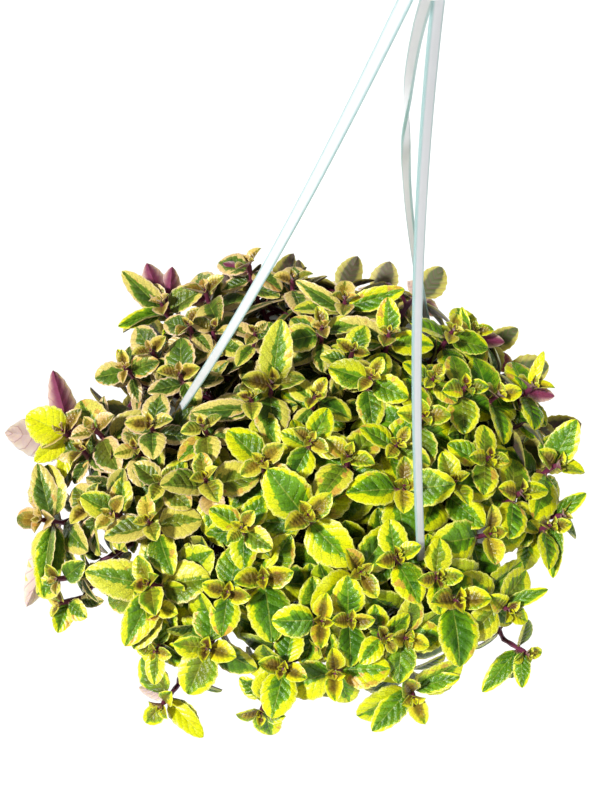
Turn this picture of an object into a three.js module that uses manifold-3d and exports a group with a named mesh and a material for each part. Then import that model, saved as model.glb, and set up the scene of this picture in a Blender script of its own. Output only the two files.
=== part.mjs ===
// A variegated spurflower in a hanging basket: a mound of leafy stems, rooted in potting mix in a round
// basket that hangs by three straps from one hook.
// Millimetres, +Z up. The origin is the hook's bearing point, inside the top of its bend.

import * as THREE from "three";
import { mergeVertices } from "three/addons/utils/BufferGeometryUtils.js";
import Module from "manifold-3d";

const wasm = await Module();
wasm.setup();

const up = new THREE.Vector3(0, 0, 1);
const gap = 0.3; // between pieces that touch

// The basket, measured from the middle of its rim
const basket = {
  height: 150,
  baseRadius: 80,
  bevelWidth: 3, // round the bottom edge
  bevelHeight: 4,
  shoulderRadius: 115, // outside of the wall, under the flange
  wall: 2.2,
  floor: 3,
  flangeRadius: 131,
  flange: 3,
  skirt: 10,
  skirtWall: 2.5,
  drainRing: 52,
  drainHole: 6, // radius
  drainSides: 6,
  drains: 5,
  sides: 28,
};

// The potting mix, level nearly out to the crown's edge and lower at the wall
const mix = { top: -10, crownRadius: 62, crownEdge: -11, wallEdge: -16, holeDepth: 11, stemTop: -9 };
const cutLength = 20; // of the tools that cut holes right through

// The hanger: three flat straps from a hub, each locked under the rim by a barbed end
const hanger = {
  hubHeight: 430,
  hubRadius: 13,
  hubHalfHeight: 6,
  hubBevel: 4,
  hubSides: 10,
  strapWidth: 5.6,
  strapThickness: 2,
  strapRadius: 125,
  strapStart: 5, // inside the hub
  strapFoot: 8, // height where a strap turns straight down
  barbWidth: 9,
  barbLength: 8,
  hookRadius: 17, // centre line
  hookBar: 3.2, // radius of the bar
  hookCentre: 42, // above the hub
  hookNeck: [[0, -26], [3.5, -19.5]], // aside and up, from the hook's centre
  hookFrom: -45, // degrees round the centre
  hookTo: 202.5,
  hookTurn: 22.5,
  hookSides: 6,
  steps: 8,
};
// Each strap bows inward and sideways, and its width turns from the first to the second of its turns, in
// degrees, between two shares of its length
const straps = [
  { bearing: 182, inward: 6, sideways: 0, turns: [-61, 0], turning: [0.75, 1] },
  { bearing: 302, inward: 28, sideways: 8, turns: [0, 0], turning: [0, 1] },
  { bearing: 62, inward: -24, sideways: 32, turns: [0, 180], turning: [0.25, 0.6] },
];
const bearingHeight = hanger.hubHeight + hanger.hookCentre + hanger.hookRadius - hanger.hookBar;

// Where the photograph was taken from, seen from the middle of the rim. The picture is 600 by 800 pixels.
const photo = { centreX: 300, centreY: 400, focal: 1087 };
const eye = new THREE.Vector3(-30, -327, 710);
const aim = { yaw: -0.2, pitch: 62.7, roll: 6.4 };

// The mound that the shoot tips lie on, wider to the left and the front, and the sight line's search for it
const mound = { middle: -10, rise: 90, radius: 190, toLeft: 25, toFront: 12, oval: 13 };
const search = { nearest: 450, furthest: 1150, step: 1 };

// Each stem lists its shoot tips as [x, y, turn, size]: the pixel of the tip in the photograph, the way its
// youngest pair of leaves points there in degrees from the right, and its size, where 1 is typical.
const stemsInPhoto = [
  [[160, 301, 115, 1], [205, 290, 20, 1]],
  [[180, 375, 0, 0.9], [190, 328, 60, 0.75]],
  [[152, 427, 0, 0.85], [133, 445, 20, 0.8], [160, 480, 60, 0.75]],
  [[92, 427, 35, 1]],
  [[62, 430, 60, 1.1]],
  [[125, 368, 100, 0.7], [152, 352, 30, 0.8]],
  [[250, 268, 60, 0.8], [292, 272, 10, 0.8]],
  [[212, 325, 150, 0.85], [255, 330, 60, 0.7]],
  [[345, 298, 95, 1.15]],
  [[389, 333, 80, 1]],
  [[371, 377, 60, 0.85]],
  [[322, 330, 100, 0.85], [352, 355, 150, 0.7], [316, 392, 60, 0.75]],
  [[272, 380, 0, 1.15]],
  [[250, 396, 95, 1]],
  [[348, 455, 145, 1.1]],
  [[262, 462, 45, 1], [310, 442, 150, 0.8]],
  [[308, 516, 40, 1.2]],
  [[262, 578, 5, 1.15]],
  [[226, 592, 160, 0.9]],
  [[205, 650, 165, 1.1]],
  [[147, 583, 110, 1.2]],
  [[148, 520, 110, 1], [112, 514, 60, 0.8]],
  [[45, 520, 0, 1.15]],
  [[62, 578, 120, 0.65], [52, 607, 60, 0.6]],
  [[78, 447, 70, 0.8], [85, 505, 60, 0.85]],
  [[203, 425, 20, 0.8]],
  [[205, 478, 110, 1.1], [242, 528, 60, 0.75]],
  [[403, 487, 90, 1.1]],
  [[362, 572, 125, 1.1]],
  [[352, 622, 0, 0.85], [322, 622, 80, 1]],
  [[398, 556, 20, 0.85]],
  [[455, 480, 100, 1.05]],
  [[465, 388, 10, 0.95], [432, 380, 60, 0.7]],
  [[450, 335, 70, 0.9], [478, 325, 10, 0.9]],
  [[502, 391, 10, 1], [535, 384, 0, 0.9]],
  [[558, 464, -15, 1.1]],
  [[520, 492, 0, 1], [488, 458, 0, 0.8]],
  [[422, 418, 10, 1.1], [400, 440, 60, 0.8]],
  [[495, 533, 95, 1.2]],
  [[568, 515, 45, 0.7], [553, 525, 0, 0.8]],
  [[458, 600, 0, 1.15], [438, 578, 0, 0.8]],
  [[505, 608, -40, 1], [522, 648, 0, 0.75]],
  [[410, 642, 170, 0.9], [388, 640, 130, 0.65]],
  [[415, 700, 115, 1.15]],
  [[335, 674, 90, 1], [283, 668, -20, 0.9]],
  [[262, 710, 0, 0.85]],
  [[165, 700, 45, 1]],
  [[150, 607, 155, 1], [150, 655, 0, 0.7]],
];

// Stems on the side that the photograph doesn't show. Each has one tip just over the rim and one that hangs
// lower: the turn from the stem's bearing, the way out past the rim, the height and the dip below level.
const hiddenBearings = [13, 40, 74, 98, 118, 142, 164];
const hiddenTips = [
  { turn: -5, out: 20, height: -12, dip: 55 },
  { turn: 8, out: 36, height: -50, dip: 66 },
];

// A stem is square, as in all of the mint family: half its width at the root, at a branch and at the tip, its
// straight end, and what is kept clear round it
const stem = { root: 2.1, branch: 1.35, tip: 1.3, straight: 24, spare: 0.5 };

// A shoot grows out from the mound, and above the rim also a little upwards. The end of one that hangs low in
// front turns up towards the light.
const growth = { outwards: 0.85, upwards: 0.35, upFrom: -40, upTo: 20, turnsUp: 0.8, lowFrom: -20, lowTo: 20 };

// A main stem leans by its tip's place as seen from a point under the rim. One that leans more is rooted
// further out and rises more before it turns. One whose neck is below the clear height arches over the rim.
const arch = {
  seenFrom: -70,
  fullLean: 95, // degrees
  nearest: 6, // root's distance from the middle
  rootIn: 8,
  rootOut: 82,
  rootPower: 1.3,
  rise: 24,
  riseMore: 46,
  reach: 6,
  reachMore: 34,
  clearHeight: 26,
  shorten: 0.3,
  over: 1.35,
};
const branch = { leaving: 14, arriving: 16, clearHeight: 14, over: 0.6 };

// How far seeded chance moves each thing, either way
const stray = {
  tip: 6,
  hiddenOut: 4,
  growth: 0.16,
  root: 5, // degrees
  leafTurn: 12,
  leafTilt: 12,
  leafRoll: 20,
  leafLength: 0.1,
  leafWidth: 0.03,
};

// Each shoot carries pairs of leaves, each pair turned a quarter turn from the next
const pairs = [
  { below: 4, length: 17, tilt: 58, outline: [[0.3, 0.86], [0.7, 0.86]] },
  { below: 12, length: 31, tilt: 80, outline: [[0.2, 0.6], [0.5, 1], [0.82, 0.7]] },
];
const leaf = {
  thickness: 0.8,
  width: 0.36, // half the widest, as a share of the length, as are the next three
  fold: 0.1,
  curl: 0.16,
  wave: 0.035,
  rootHalf: 0.8,
  spare: 0.35, // kept clear round it
};
const leafSides = [[3, 1], [0, 2]]; // the side of the stem that each leaf of each pair grows from

// A leaf that would cross another stem's is bent clear: the first of these that fits is grown
const leafBends = [
  { tilt: 0, turn: 0, scale: 1 },
  { tilt: 12, turn: 0, scale: 1 },
  { tilt: -12, turn: 0, scale: 1 },
  { tilt: 0, turn: 14, scale: 1 },
  { tilt: 0, turn: -14, scale: 1 },
  { tilt: 24, turn: 0, scale: 1 },
  { tilt: -24, turn: 0, scale: 1 },
  { tilt: 14, turn: 20, scale: 0.95 },
  { tilt: -14, turn: -20, scale: 0.95 },
  { tilt: 36, turn: 0, scale: 0.95 },
  { tilt: -34, turn: 10, scale: 0.9 },
  { tilt: 0, turn: 0, scale: 0.75 },
  { tilt: 18, turn: -16, scale: 0.75 },
  { tilt: -18, turn: 16, scale: 0.75 },
  { tilt: 30, turn: 26, scale: 0.7 },
  { tilt: -30, turn: -26, scale: 0.7 },
];
const stemTurns = [0, 6, -6, 12, -12, 19, -19, 27, -27];
const stemShifts = [[0, 0], [9, 6], [-9, -6], [-16, 12], [16, -4]]; // the root's way out, the arch's way up
const stemBends = stemShifts.flatMap(([reach, lift]) => stemTurns.map((turn) => ({ turn, reach, lift })));
const sideStarts = [3, 4]; // the step of the main stem that a side shoot leaves, counted from its tip
const sideBends = sideStarts.flatMap((step) => stemBends.map((bend) => ({ ...bend, step })));

// Materials
const paint = (colour, roughness) => new THREE.MeshStandardMaterial({ color: colour, roughness, metalness: 0 });
const finish = {
  leaf: paint(0x8fb02c, 0.55),
  basket: paint(0xe9ece8, 0.4),
  hanger: paint(0xeceff0, 0.35),
  mix: paint(0x2f2219, 0.95),
};

// Small mathematics
const radians = (degrees) => (degrees * Math.PI) / 180;
const around = (bearing, radius, z) =>
  new THREE.Vector3(Math.cos(radians(bearing)) * radius, Math.sin(radians(bearing)) * radius, z);
const mixed = (a, wa, b, wb) => a.clone().multiplyScalar(wa).addScaledVector(b, wb);

// A number from 0 to 1 that is always the same for the same two whole numbers
function draw(key, use) {
  let state = (key * 7919 + use * 104729 + 12345) % 4294967296;
  for (let i = 0; i < 4; i += 1) {
    state = (state * 1664525 + 1013904223) % 4294967296;
  }
  return state / 4294967296;
}
const spread = (key, use, size) => (2 * draw(key, use) - 1) * size;

// Solids
function toSolid(positions, triangles) {
  const p = positions;
  let volume = 0;
  for (const [a, b, c] of triangles) {
    volume += p[a].dot(p[b].clone().cross(p[c]));
  }
  const ordered = volume < 0 ? triangles.map(([a, b, c]) => [a, c, b]) : triangles;
  return new wasm.Manifold(
    new wasm.Mesh({
      numProp: 3,
      vertProperties: new Float32Array(p.flatMap((v) => [v.x, v.y, v.z])),
      triVerts: new Uint32Array(ordered.flat()),
    })
  );
}

function geometryToSolid(geometry) {
  const bare = geometry.clone();
  bare.deleteAttribute("uv");
  bare.deleteAttribute("normal");
  const merged = mergeVertices(bare, 1e-3);
  const place = merged.getAttribute("position");
  const cornerAt = (_, i) => new THREE.Vector3().fromBufferAttribute(place, i);
  const corners = Array.from({ length: place.count }, cornerAt);
  const triangles = [];
  for (let i = 0; i < merged.index.count; i += 3) {
    const face = [merged.index.getX(i), merged.index.getX(i + 1), merged.index.getX(i + 2)];
    if (new Set(face).size === 3) {
      triangles.push(face);
    }
  }
  return toSolid(corners, triangles);
}

function toMesh(solid, name, material) {
  const { vertProperties, triVerts } = solid.getMesh();
  const geometry = new THREE.BufferGeometry();
  geometry.setAttribute("position", new THREE.BufferAttribute(vertProperties, 3));
  geometry.setIndex(new THREE.BufferAttribute(triVerts, 1));
  geometry.computeVertexNormals();
  const mesh = new THREE.Mesh(geometry, material);
  mesh.name = name;
  return mesh;
}

// A turned solid. The profile lists [radius, height] and starts and ends on the axis.
function turned(profile, sides) {
  const points = profile.map(([radius, height]) => new THREE.Vector2(radius, height));
  const lathe = new THREE.LatheGeometry(points, sides);
  lathe.rotateX(Math.PI / 2);
  return geometryToSolid(lathe);
}

// A bar along a path, with the ring of corner offsets that sectionAt gives for each step
function swept(path, sectionAt) {
  const rings = path.map((point, i) => sectionAt(i).map((offset) => offset.add(point)));
  const sides = rings[0].length;
  const triangles = [];
  for (let i = 0; i + 1 < rings.length; i += 1) {
    for (let j = 0; j < sides; j += 1) {
      const a = i * sides + j;
      const b = i * sides + ((j + 1) % sides);
      triangles.push([a, b, b + sides], [a, b + sides, a + sides]);
    }
  }
  const last = (rings.length - 1) * sides;
  for (let j = 1; j + 1 < sides; j += 1) {
    triangles.push([0, j + 1, j], [last, last + j, last + j + 1]);
  }
  return { corners: rings.flat(), triangles, rings: rings.length };
}
const solidOf = ({ corners, triangles }) => toSolid(corners, triangles);

function directionAt(path, i) {
  const from = path[Math.max(i - 1, 0)];
  const to = path[Math.min(i + 1, path.length - 1)];
  return to.clone().sub(from).normalize();
}

// A flat section: width along one direction, thickness across it
const halves = [[0.5, 0.5], [-0.5, 0.5], [-0.5, -0.5], [0.5, -0.5]];
const flatSection = (wide, width, thin, thickness) =>
  halves.map(([w, t]) => mixed(wide, w * width, thin, t * thickness));

// The basket
function makeBasket() {
  const b = basket;
  const innerBase = b.baseRadius - b.wall;
  const innerTop = b.shoulderRadius - b.wall;
  const skirtInside = b.flangeRadius - b.skirtWall;
  let body = turned(
    [
      [0, -b.height],
      [b.baseRadius, -b.height],
      [b.baseRadius + b.bevelWidth, -b.height + b.bevelHeight],
      [b.shoulderRadius, -b.flange],
      [skirtInside, -b.flange],
      [skirtInside, -b.skirt],
      [b.flangeRadius, -b.skirt],
      [b.flangeRadius, 0],
      [innerTop, 0],
      [innerBase, -b.height + b.floor],
      [0, -b.height + b.floor],
    ],
    b.sides
  );
  for (let i = 0; i < b.drains; i += 1) {
    const hole = new THREE.CylinderGeometry(b.drainHole, b.drainHole, cutLength, b.drainSides);
    hole.rotateX(Math.PI / 2);
    const middle = around((360 / b.drains) * i, b.drainRing, -b.height);
    hole.translate(middle.x, middle.y, middle.z);
    body = body.subtract(geometryToSolid(hole));
  }
  const play = 2 * (gap + 0.1);
  for (const { bearing } of straps) {
    const slot = new THREE.BoxGeometry(hanger.strapThickness + play, hanger.strapWidth + play, cutLength);
    slot.rotateZ(radians(bearing));
    const middle = around(bearing, hanger.strapRadius, 0);
    slot.translate(middle.x, middle.y, middle.z);
    body = body.subtract(geometryToSolid(slot));
  }
  return body;
}

// The potting mix fills the basket to just under its rim
function makeMix() {
  const b = basket;
  const base = -b.height + b.floor;
  const slope = (b.shoulderRadius - b.baseRadius) / -base;
  const wallAt = (z) => b.baseRadius - b.wall + slope * (z - base) - gap;
  const floor = base + gap;
  return turned(
    [
      [0, floor],
      [wallAt(floor), floor],
      [wallAt(mix.wallEdge), mix.wallEdge],
      [mix.crownRadius, mix.crownEdge],
      [0, mix.top],
    ],
    b.sides
  );
}

// The hanger, one moulded piece
function makeHanger() {
  const h = hanger;
  const low = h.hubHeight - h.hubHalfHeight;
  const high = h.hubHeight + h.hubHalfHeight;
  const bevel = h.hubRadius - h.hubBevel;
  const hub = turned(
    [
      [0, low],
      [bevel, low],
      [h.hubRadius, low + h.hubBevel],
      [h.hubRadius, high - h.hubBevel],
      [bevel, high],
      [0, high],
    ],
    h.hubSides
  );
  return wasm.Manifold.union([hub, makeHook(), ...straps.flatMap(makeStrap)]);
}

function makeStrap({ bearing, inward, sideways, turns, turning }) {
  const h = hanger;
  const outward = around(bearing, 1, 0);
  const across = around(bearing + 90, 1, 0);
  const top = around(bearing, h.strapStart, h.hubHeight);
  const bottom = around(bearing, h.strapRadius, h.strapFoot);
  const underRim = -basket.flange - gap;
  const path = [];
  for (let i = 0; i <= h.steps; i += 1) {
    const t = i / h.steps;
    const bow = 4 * t * (1 - t);
    const point = top.clone().lerp(bottom, t).addScaledVector(outward, -inward * bow);
    path.push(point.addScaledVector(across, sideways * bow));
  }
  path.push(around(bearing, h.strapRadius, underRim - h.strapThickness));
  const body = swept(path, (i) => {
    const along = directionAt(path, i);
    const turn = THREE.MathUtils.lerp(...turns, THREE.MathUtils.smoothstep(i / h.steps, ...turning));
    const wide = across.clone().applyAxisAngle(along, radians(turn));
    return flatSection(wide, h.strapWidth, wide.clone().cross(along).normalize(), h.strapThickness);
  });
  const barb = [0, h.barbLength].map((down) => around(bearing, h.strapRadius, underRim - down));
  const barbWidths = [h.barbWidth, h.strapWidth - 1];
  const lock = swept(barb, (i) => flatSection(across, barbWidths[i], outward, h.strapThickness));
  return [solidOf(body), solidOf(lock)];
}

// The hook: a neck from the hub that leans aside into three quarters of a ring
function makeHook() {
  const h = hanger;
  const points = [[0, -h.hookCentre], ...h.hookNeck];
  for (let angle = h.hookFrom; angle <= h.hookTo; angle += h.hookTurn) {
    points.push([Math.cos(radians(angle)) * h.hookRadius, Math.sin(radians(angle)) * h.hookRadius]);
  }
  const path = points.map(([x, z]) => new THREE.Vector3(x, 0, h.hubHeight + h.hookCentre + z));
  const aside = new THREE.Vector3(0, 1, 0);
  const bar = swept(path, (i) => {
    const inward = aside.clone().cross(directionAt(path, i)).normalize();
    return Array.from({ length: h.hookSides }, (_, k) => {
      const angle = radians((360 / h.hookSides) * (k + 0.5));
      return mixed(aside, Math.cos(angle) * h.hookBar, inward, Math.sin(angle) * h.hookBar);
    });
  });
  return solidOf(bar);
}

// The camera's own right, up and forward
function cameraAxes() {
  const [yaw, pitch, roll] = [aim.yaw, aim.pitch, aim.roll].map(radians);
  const forward = new THREE.Vector3(
    Math.sin(yaw) * Math.cos(pitch),
    Math.cos(yaw) * Math.cos(pitch),
    -Math.sin(pitch)
  );
  const level = new THREE.Vector3(Math.cos(yaw), -Math.sin(yaw), 0);
  const above = level.clone().cross(forward);
  return {
    forward,
    right: mixed(level, Math.cos(roll), above, Math.sin(roll)),
    above: mixed(level, -Math.sin(roll), above, Math.cos(roll)),
  };
}
const camera = cameraAxes();

// The mound's radius at a bearing: furthest out on the left, nearest at the back
function moundRadius(bearing) {
  const shift = mound.toLeft * Math.cos(bearing) + mound.toFront * Math.sin(bearing);
  return mound.radius - shift + mound.oval * Math.cos(2 * bearing);
}

// 0 on the mound's surface, negative inside
function moundLevel(point) {
  const radius = moundRadius(Math.atan2(point.y, point.x));
  return (point.x ** 2 + point.y ** 2) / radius ** 2 + ((point.z - mound.middle) / mound.rise) ** 2 - 1;
}

// Where the sight line through a pixel meets the mound, or passes it most closely
function onMound(x, y) {
  const sight = camera.forward
    .clone()
    .addScaledVector(camera.right, (x - photo.centreX) / photo.focal)
    .addScaledVector(camera.above, (photo.centreY - y) / photo.focal)
    .normalize();
  let best = null;
  let least = Infinity;
  for (let far = search.nearest; far < search.furthest; far += search.step) {
    const point = eye.clone().addScaledVector(sight, far);
    const level = moundLevel(point);
    if (level < least) {
      least = level;
      best = point;
    }
    if (level < 0) {
      break;
    }
  }
  return best;
}

function moundNormal(point) {
  const radius = moundRadius(Math.atan2(point.y, point.x));
  return new THREE.Vector3(
    point.x / radius ** 2,
    point.y / radius ** 2,
    (point.z - mound.middle) / mound.rise ** 2
  ).normalize();
}

// A shoot: its tip, the way it grows, and the way its youngest pair of leaves points
function photoShoot([x, y, turn, size], key) {
  const tip = onMound(x, y);
  const normal = moundNormal(tip);
  tip.addScaledVector(normal, spread(key, 1, stray.tip));
  const low = 1 - THREE.MathUtils.smoothstep(tip.z, growth.lowFrom, growth.lowTo);
  const facing = mixed(normal, 1, up, growth.turnsUp * low).normalize();
  const towards = mixed(camera.right, Math.cos(radians(turn)), camera.above, Math.sin(radians(turn)));
  return makeShoot(tip, facing, towards, size, key);
}

function hiddenShoot(stemBearing, { turn, out, height, dip }, key) {
  const bearing = stemBearing + turn;
  const radius = basket.flangeRadius + out + spread(key, 1, stray.hiddenOut);
  const tip = around(bearing, radius, height + spread(key, 10, stray.tip));
  const dipping = around(bearing, Math.cos(radians(dip)), -Math.sin(radians(dip)));
  return makeShoot(tip, dipping, around(bearing + 90, 1, 0.6), 1, key);
}

function makeShoot(tip, normal, towards, size, key) {
  const upwards = growth.upwards * THREE.MathUtils.smoothstep(tip.z, growth.upFrom, growth.upTo);
  const grows = mixed(normal, growth.outwards, up, upwards);
  grows.x += spread(key, 2, stray.growth);
  grows.y += spread(key, 3, stray.growth);
  grows.normalize();
  const side = towards.clone().addScaledVector(grows, -towards.dot(grows)).normalize();
  const neck = tip.clone().addScaledVector(grows, -stem.straight);
  return { tip, neck, grows, side, size, key };
}

// A cubic curve between two ends, from the handles that leave them
function curve(start, startHandle, endHandle, end, t) {
  const s = 1 - t;
  return start
    .clone()
    .multiplyScalar(s * s * s)
    .addScaledVector(startHandle, 3 * s * s * t)
    .addScaledVector(endHandle, 3 * s * t * t)
    .addScaledVector(end, t * t * t);
}

// How far a tip leans from straight up, as 0 at the crown to 1 where it hangs past the rim
function lean(tip) {
  const angle = Math.atan2(Math.hypot(tip.x, tip.y), tip.z - arch.seenFrom);
  return Math.min(angle / radians(arch.fullLean), 1);
}

// The main stem: out of its hole, up, over the rim and out to its tip
function mainPath(shoot, bend) {
  const share = lean(shoot.tip);
  const tipBearing = THREE.MathUtils.radToDeg(Math.atan2(shoot.tip.y, shoot.tip.x));
  const bearing = tipBearing + bend.turn + spread(shoot.key, 4, stray.root);
  const rootRadius = arch.rootIn + arch.rootOut * share ** arch.rootPower + bend.reach;
  const root = around(bearing, Math.max(arch.nearest, rootRadius), mix.stemTop);
  const rootHandle = root.clone().addScaledVector(up, arch.rise + arch.riseMore * share + bend.lift);
  const drop = Math.max(0, arch.clearHeight - shoot.neck.z);
  const back = arch.reach + share * (arch.reachMore - arch.shorten * drop);
  const neckHandle = shoot.neck.clone().addScaledVector(shoot.grows, -back);
  neckHandle.z += drop * arch.over + bend.lift;
  const path = [root.clone().addScaledVector(up, -mix.holeDepth + gap), root];
  const steps = 2 + Math.round(2 * share);
  for (let i = 1; i <= steps; i += 1) {
    path.push(curve(root, rootHandle, neckHandle, shoot.neck, i / steps));
  }
  path.push(shoot.tip);
  return { path, rooted: true };
}

// A side shoot leaves the main stem a little before its neck
function sidePath(shoot, parent, bend) {
  const step = parent.length - bend.step;
  const start = parent[step].clone();
  const leaving = directionAt(parent, step).applyAxisAngle(up, radians(bend.turn));
  const startHandle = start.clone().addScaledVector(leaving, branch.leaving + bend.reach / 2);
  startHandle.z += bend.lift;
  const neckHandle = shoot.neck.clone().addScaledVector(shoot.grows, -branch.arriving);
  neckHandle.z += Math.max(0, branch.clearHeight - shoot.neck.z) * branch.over + bend.lift;
  const path = [start, curve(start, startHandle, neckHandle, shoot.neck, 0.5), shoot.neck, shoot.tip];
  return { path, rooted: false };
}

// A square stem, upright in its hole where it is rooted. Its corners are carried down from the tip, where its
// sides face the leaves, so the shape also says which way they face at its foot.
function stemShape({ path, rooted }, side, spare) {
  const alongs = path.map((_, i) => (rooted && i < 2 ? up.clone() : directionAt(path, i)));
  const wides = [];
  let wide = side;
  for (const along of [...alongs].reverse()) {
    wide = wide.clone().addScaledVector(along, -wide.dot(along)).normalize();
    wides.unshift(wide);
  }
  const foot = rooted ? stem.root : stem.branch;
  const shape = swept(path, (i) => {
    const width = 2 * (THREE.MathUtils.lerp(foot, stem.tip, i / (path.length - 1)) + spare);
    return flatSection(wides[i], width, alongs[i].clone().cross(wides[i]), width);
  });
  return { ...shape, foot: wides[0] };
}

// A leaf's place: where it leaves the stem, the way it points and the way its face looks
function placeLeaf(shoot, rank, facing, bend) {
  const pair = pairs[rank];
  const key = shoot.key * 16 + rank * 2 + (facing > 0 ? 1 : 0);
  const outward = shoot.side.clone().applyAxisAngle(shoot.grows, radians(90 * rank));
  outward.multiplyScalar(facing);
  const turn = radians(bend.turn + spread(key, 5, stray.leafTurn));
  const side = outward.clone().applyAxisAngle(shoot.grows, turn);
  const tilt = radians(pair.tilt + bend.tilt + spread(key, 6, stray.leafTilt));
  const along = mixed(shoot.grows, Math.cos(tilt), side, Math.sin(tilt));
  const flat = mixed(shoot.grows, Math.sin(tilt), side, -Math.cos(tilt));
  const face = flat.applyAxisAngle(along, radians(spread(key, 7, stray.leafRoll)));
  const base = shoot.tip.clone().addScaledVector(shoot.grows, -pair.below * shoot.size);
  base.addScaledVector(outward, stem.tip + 0.1);
  const length = pair.length * shoot.size * bend.scale * (1 + spread(key, 8, stray.leafLength));
  const width = leaf.width + spread(key, 9, stray.leafWidth);
  return { base, outward, grows: shoot.grows, along, face, length, width, key, outline: pair.outline };
}

// A leaf: an ovate blade with a wavy edge, folded a little along its midrib and curling down to its tip.
// Its corners run round its upper face from the root's right to its left, and then round its lower face.
function leafShape(place, spare) {
  const across = place.face.clone().cross(place.along);
  const length = place.length + spare;
  const halfWidth = place.width * place.length + spare;
  const at = (along, side, wave) => {
    const rise = leaf.fold * Math.abs(side) * place.width - leaf.curl * along * along + wave;
    const height = rise * place.length;
    const point = place.base.clone().addScaledVector(place.along, along * length);
    return point.addScaledVector(across, side * halfWidth).addScaledVector(place.face, height);
  };
  const waved = (side, use) =>
    place.outline.map(([x, y], i) => at(x, side * y, spread(place.key, use + i, leaf.wave)));
  const rim = [...waved(1, 10), at(1, 0, 0), ...waved(-1, 20).reverse()];
  const rootAcross = place.grows.clone().cross(place.outward);
  const corners = [];
  for (const facing of [1, -1]) {
    const lift = facing * (leaf.thickness / 2 + spare);
    const root = [leaf.rootHalf, -leaf.rootHalf].map((offset) =>
      place.base.clone().addScaledVector(rootAcross, offset).addScaledVector(place.grows, lift)
    );
    const flat = rim.map((point) => point.clone().addScaledVector(place.face, lift));
    corners.push(root[0], ...flat, root[1]);
  }
  const lower = corners.length / 2;
  const left = lower - 1;
  const tip = left / 2;
  const blades = [[0, tip, left]]; // the midrib, then the blade on each side of it
  for (let i = 1; i < tip; i += 1) {
    blades.push([0, i, i + 1], [left, left - 1 - i, left - i]);
  }
  const triangles = blades.flatMap(([a, b, c]) => [[a, c, b], [lower + a, lower + b, lower + c]]);
  for (let i = 0; i < left; i += 1) {
    triangles.push([i, lower + i + 1, lower + i], [i, i + 1, lower + i + 1]);
  }
  // The open end, from its lower left corner round to its upper left
  const open = [lower + left, lower, 0, left];
  return { corners, triangles, open };
}

function leafSolid(place, spare) {
  const { corners, triangles, open } = leafShape(place, spare);
  const [a, b, c, d] = open;
  return toSolid(corners, [...triangles, [a, c, b], [a, d, c]]);
}

// Joins a leaf's open end into one side of the last stretch of a stem
function joinLeaf(shape, side, { corners, triangles, open }) {
  const { length } = shape.corners;
  const lowRing = shape.rings - 2;
  const a = lowRing * 4 + side;
  const b = lowRing * 4 + ((side + 1) % 4);
  const outer = [a, b, b + 4, a + 4];
  const inner = open.map((corner) => corner + length);
  const isOuter = (triangle) => triangle.every((corner) => outer.includes(corner));
  shape.triangles = shape.triangles.filter((triangle) => !isOuter(triangle));
  for (let i = 0; i < 4; i += 1) {
    const next = (i + 1) % 4;
    shape.triangles.push([outer[i], outer[next], inner[next]], [outer[i], inner[next], inner[i]]);
  }
  shape.corners.push(...corners);
  shape.triangles.push(...triangles.map((triangle) => triangle.map((corner) => corner + length)));
}

// What has been placed so far, each with its name and its box
const placed = [];

function remember(solid, name) {
  placed.push({ solid, name, box: solid.boundingBox() });
}

function boxesMeet(a, b) {
  return [0, 1, 2].every((i) => a.min[i] <= b.max[i] && b.min[i] <= a.max[i]);
}

function isClear(solid, joins) {
  const box = solid.boundingBox();
  const near = placed.filter((other) => other.name !== joins && boxesMeet(box, other.box));
  return near.every((other) => solid.intersect(other.solid).isEmpty());
}

// The first of the bends whose solid, with room to spare, is clear of all but what it joins
function firstClear(bends, name, joins, build) {
  for (const bend of bends) {
    const roomy = build(bend, true);
    const clear = isClear(roomy, joins);
    roomy.delete();
    if (clear) {
      remember(build(bend, false), name);
      return bend;
    }
  }
  return null;
}

// The plan of the plant: every stem with its shoots
function planStems() {
  const stems = [];
  let key = 0;
  for (const tips of stemsInPhoto) {
    stems.push(tips.map((tip) => photoShoot(tip, (key += 1))));
  }
  for (const bearing of hiddenBearings) {
    stems.push(hiddenTips.map((tip) => hiddenShoot(bearing, tip, (key += 1))));
  }
  return stems;
}

// One limb of a stem: the main one from the mix, or a side shoot from the main one
function growLimb(shoot, name, joins, bends, route) {
  const build = (bend, roomy) => solidOf(stemShape(route(bend), shoot.side, roomy ? stem.spare : 0));
  const bend = firstClear(bends, name, joins, build);
  if (!bend) {
    throw new Error(`${name} finds no way past its neighbours`);
  }
  return { shoot, name, path: route(bend).path, shape: stemShape(route(bend), shoot.side, 0) };
}

function growStem(shoots, name) {
  const [first, ...others] = shoots;
  const main = growLimb(first, name, null, stemBends, (bend) => mainPath(first, bend));
  const branches = others.map((shoot, i) =>
    growLimb(shoot, `${name}_side_${i}`, name, sideBends, (bend) => sidePath(shoot, main.path, bend))
  );
  return { name, limbs: [main, ...branches] };
}

// The youngest pair of every shoot is grown first, and then the older pair. A leaf that no bend clears is
// left out.
function growLeaves(plants) {
  const limbs = plants.flatMap((plant) => plant.limbs);
  for (const rank of pairs.keys()) {
    for (const { shoot, shape, name } of limbs) {
      for (const facing of [1, -1]) {
        const place = (bend) => placeLeaf(shoot, rank, facing, bend);
        const build = (bend, roomy) => leafSolid(place(bend), roomy ? leaf.spare : 0);
        const bend = firstClear(leafBends, "leaf", name, build);
        if (bend) {
          joinLeaf(shape, leafSides[rank][facing > 0 ? 0 : 1], leafShape(place(bend), 0));
        }
      }
    }
  }
}

// The plain square hole that a stem stands in
function makeHole({ path, shape }) {
  const width = 2 * (stem.root + gap);
  const bottom = path[0].clone().addScaledVector(up, -gap);
  const top = path[1].clone().addScaledVector(up, mix.holeDepth);
  const across = up.clone().cross(shape.foot);
  const hole = swept([bottom, top], () => flatSection(shape.foot, width, across, width));
  return solidOf(hole);
}

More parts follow.
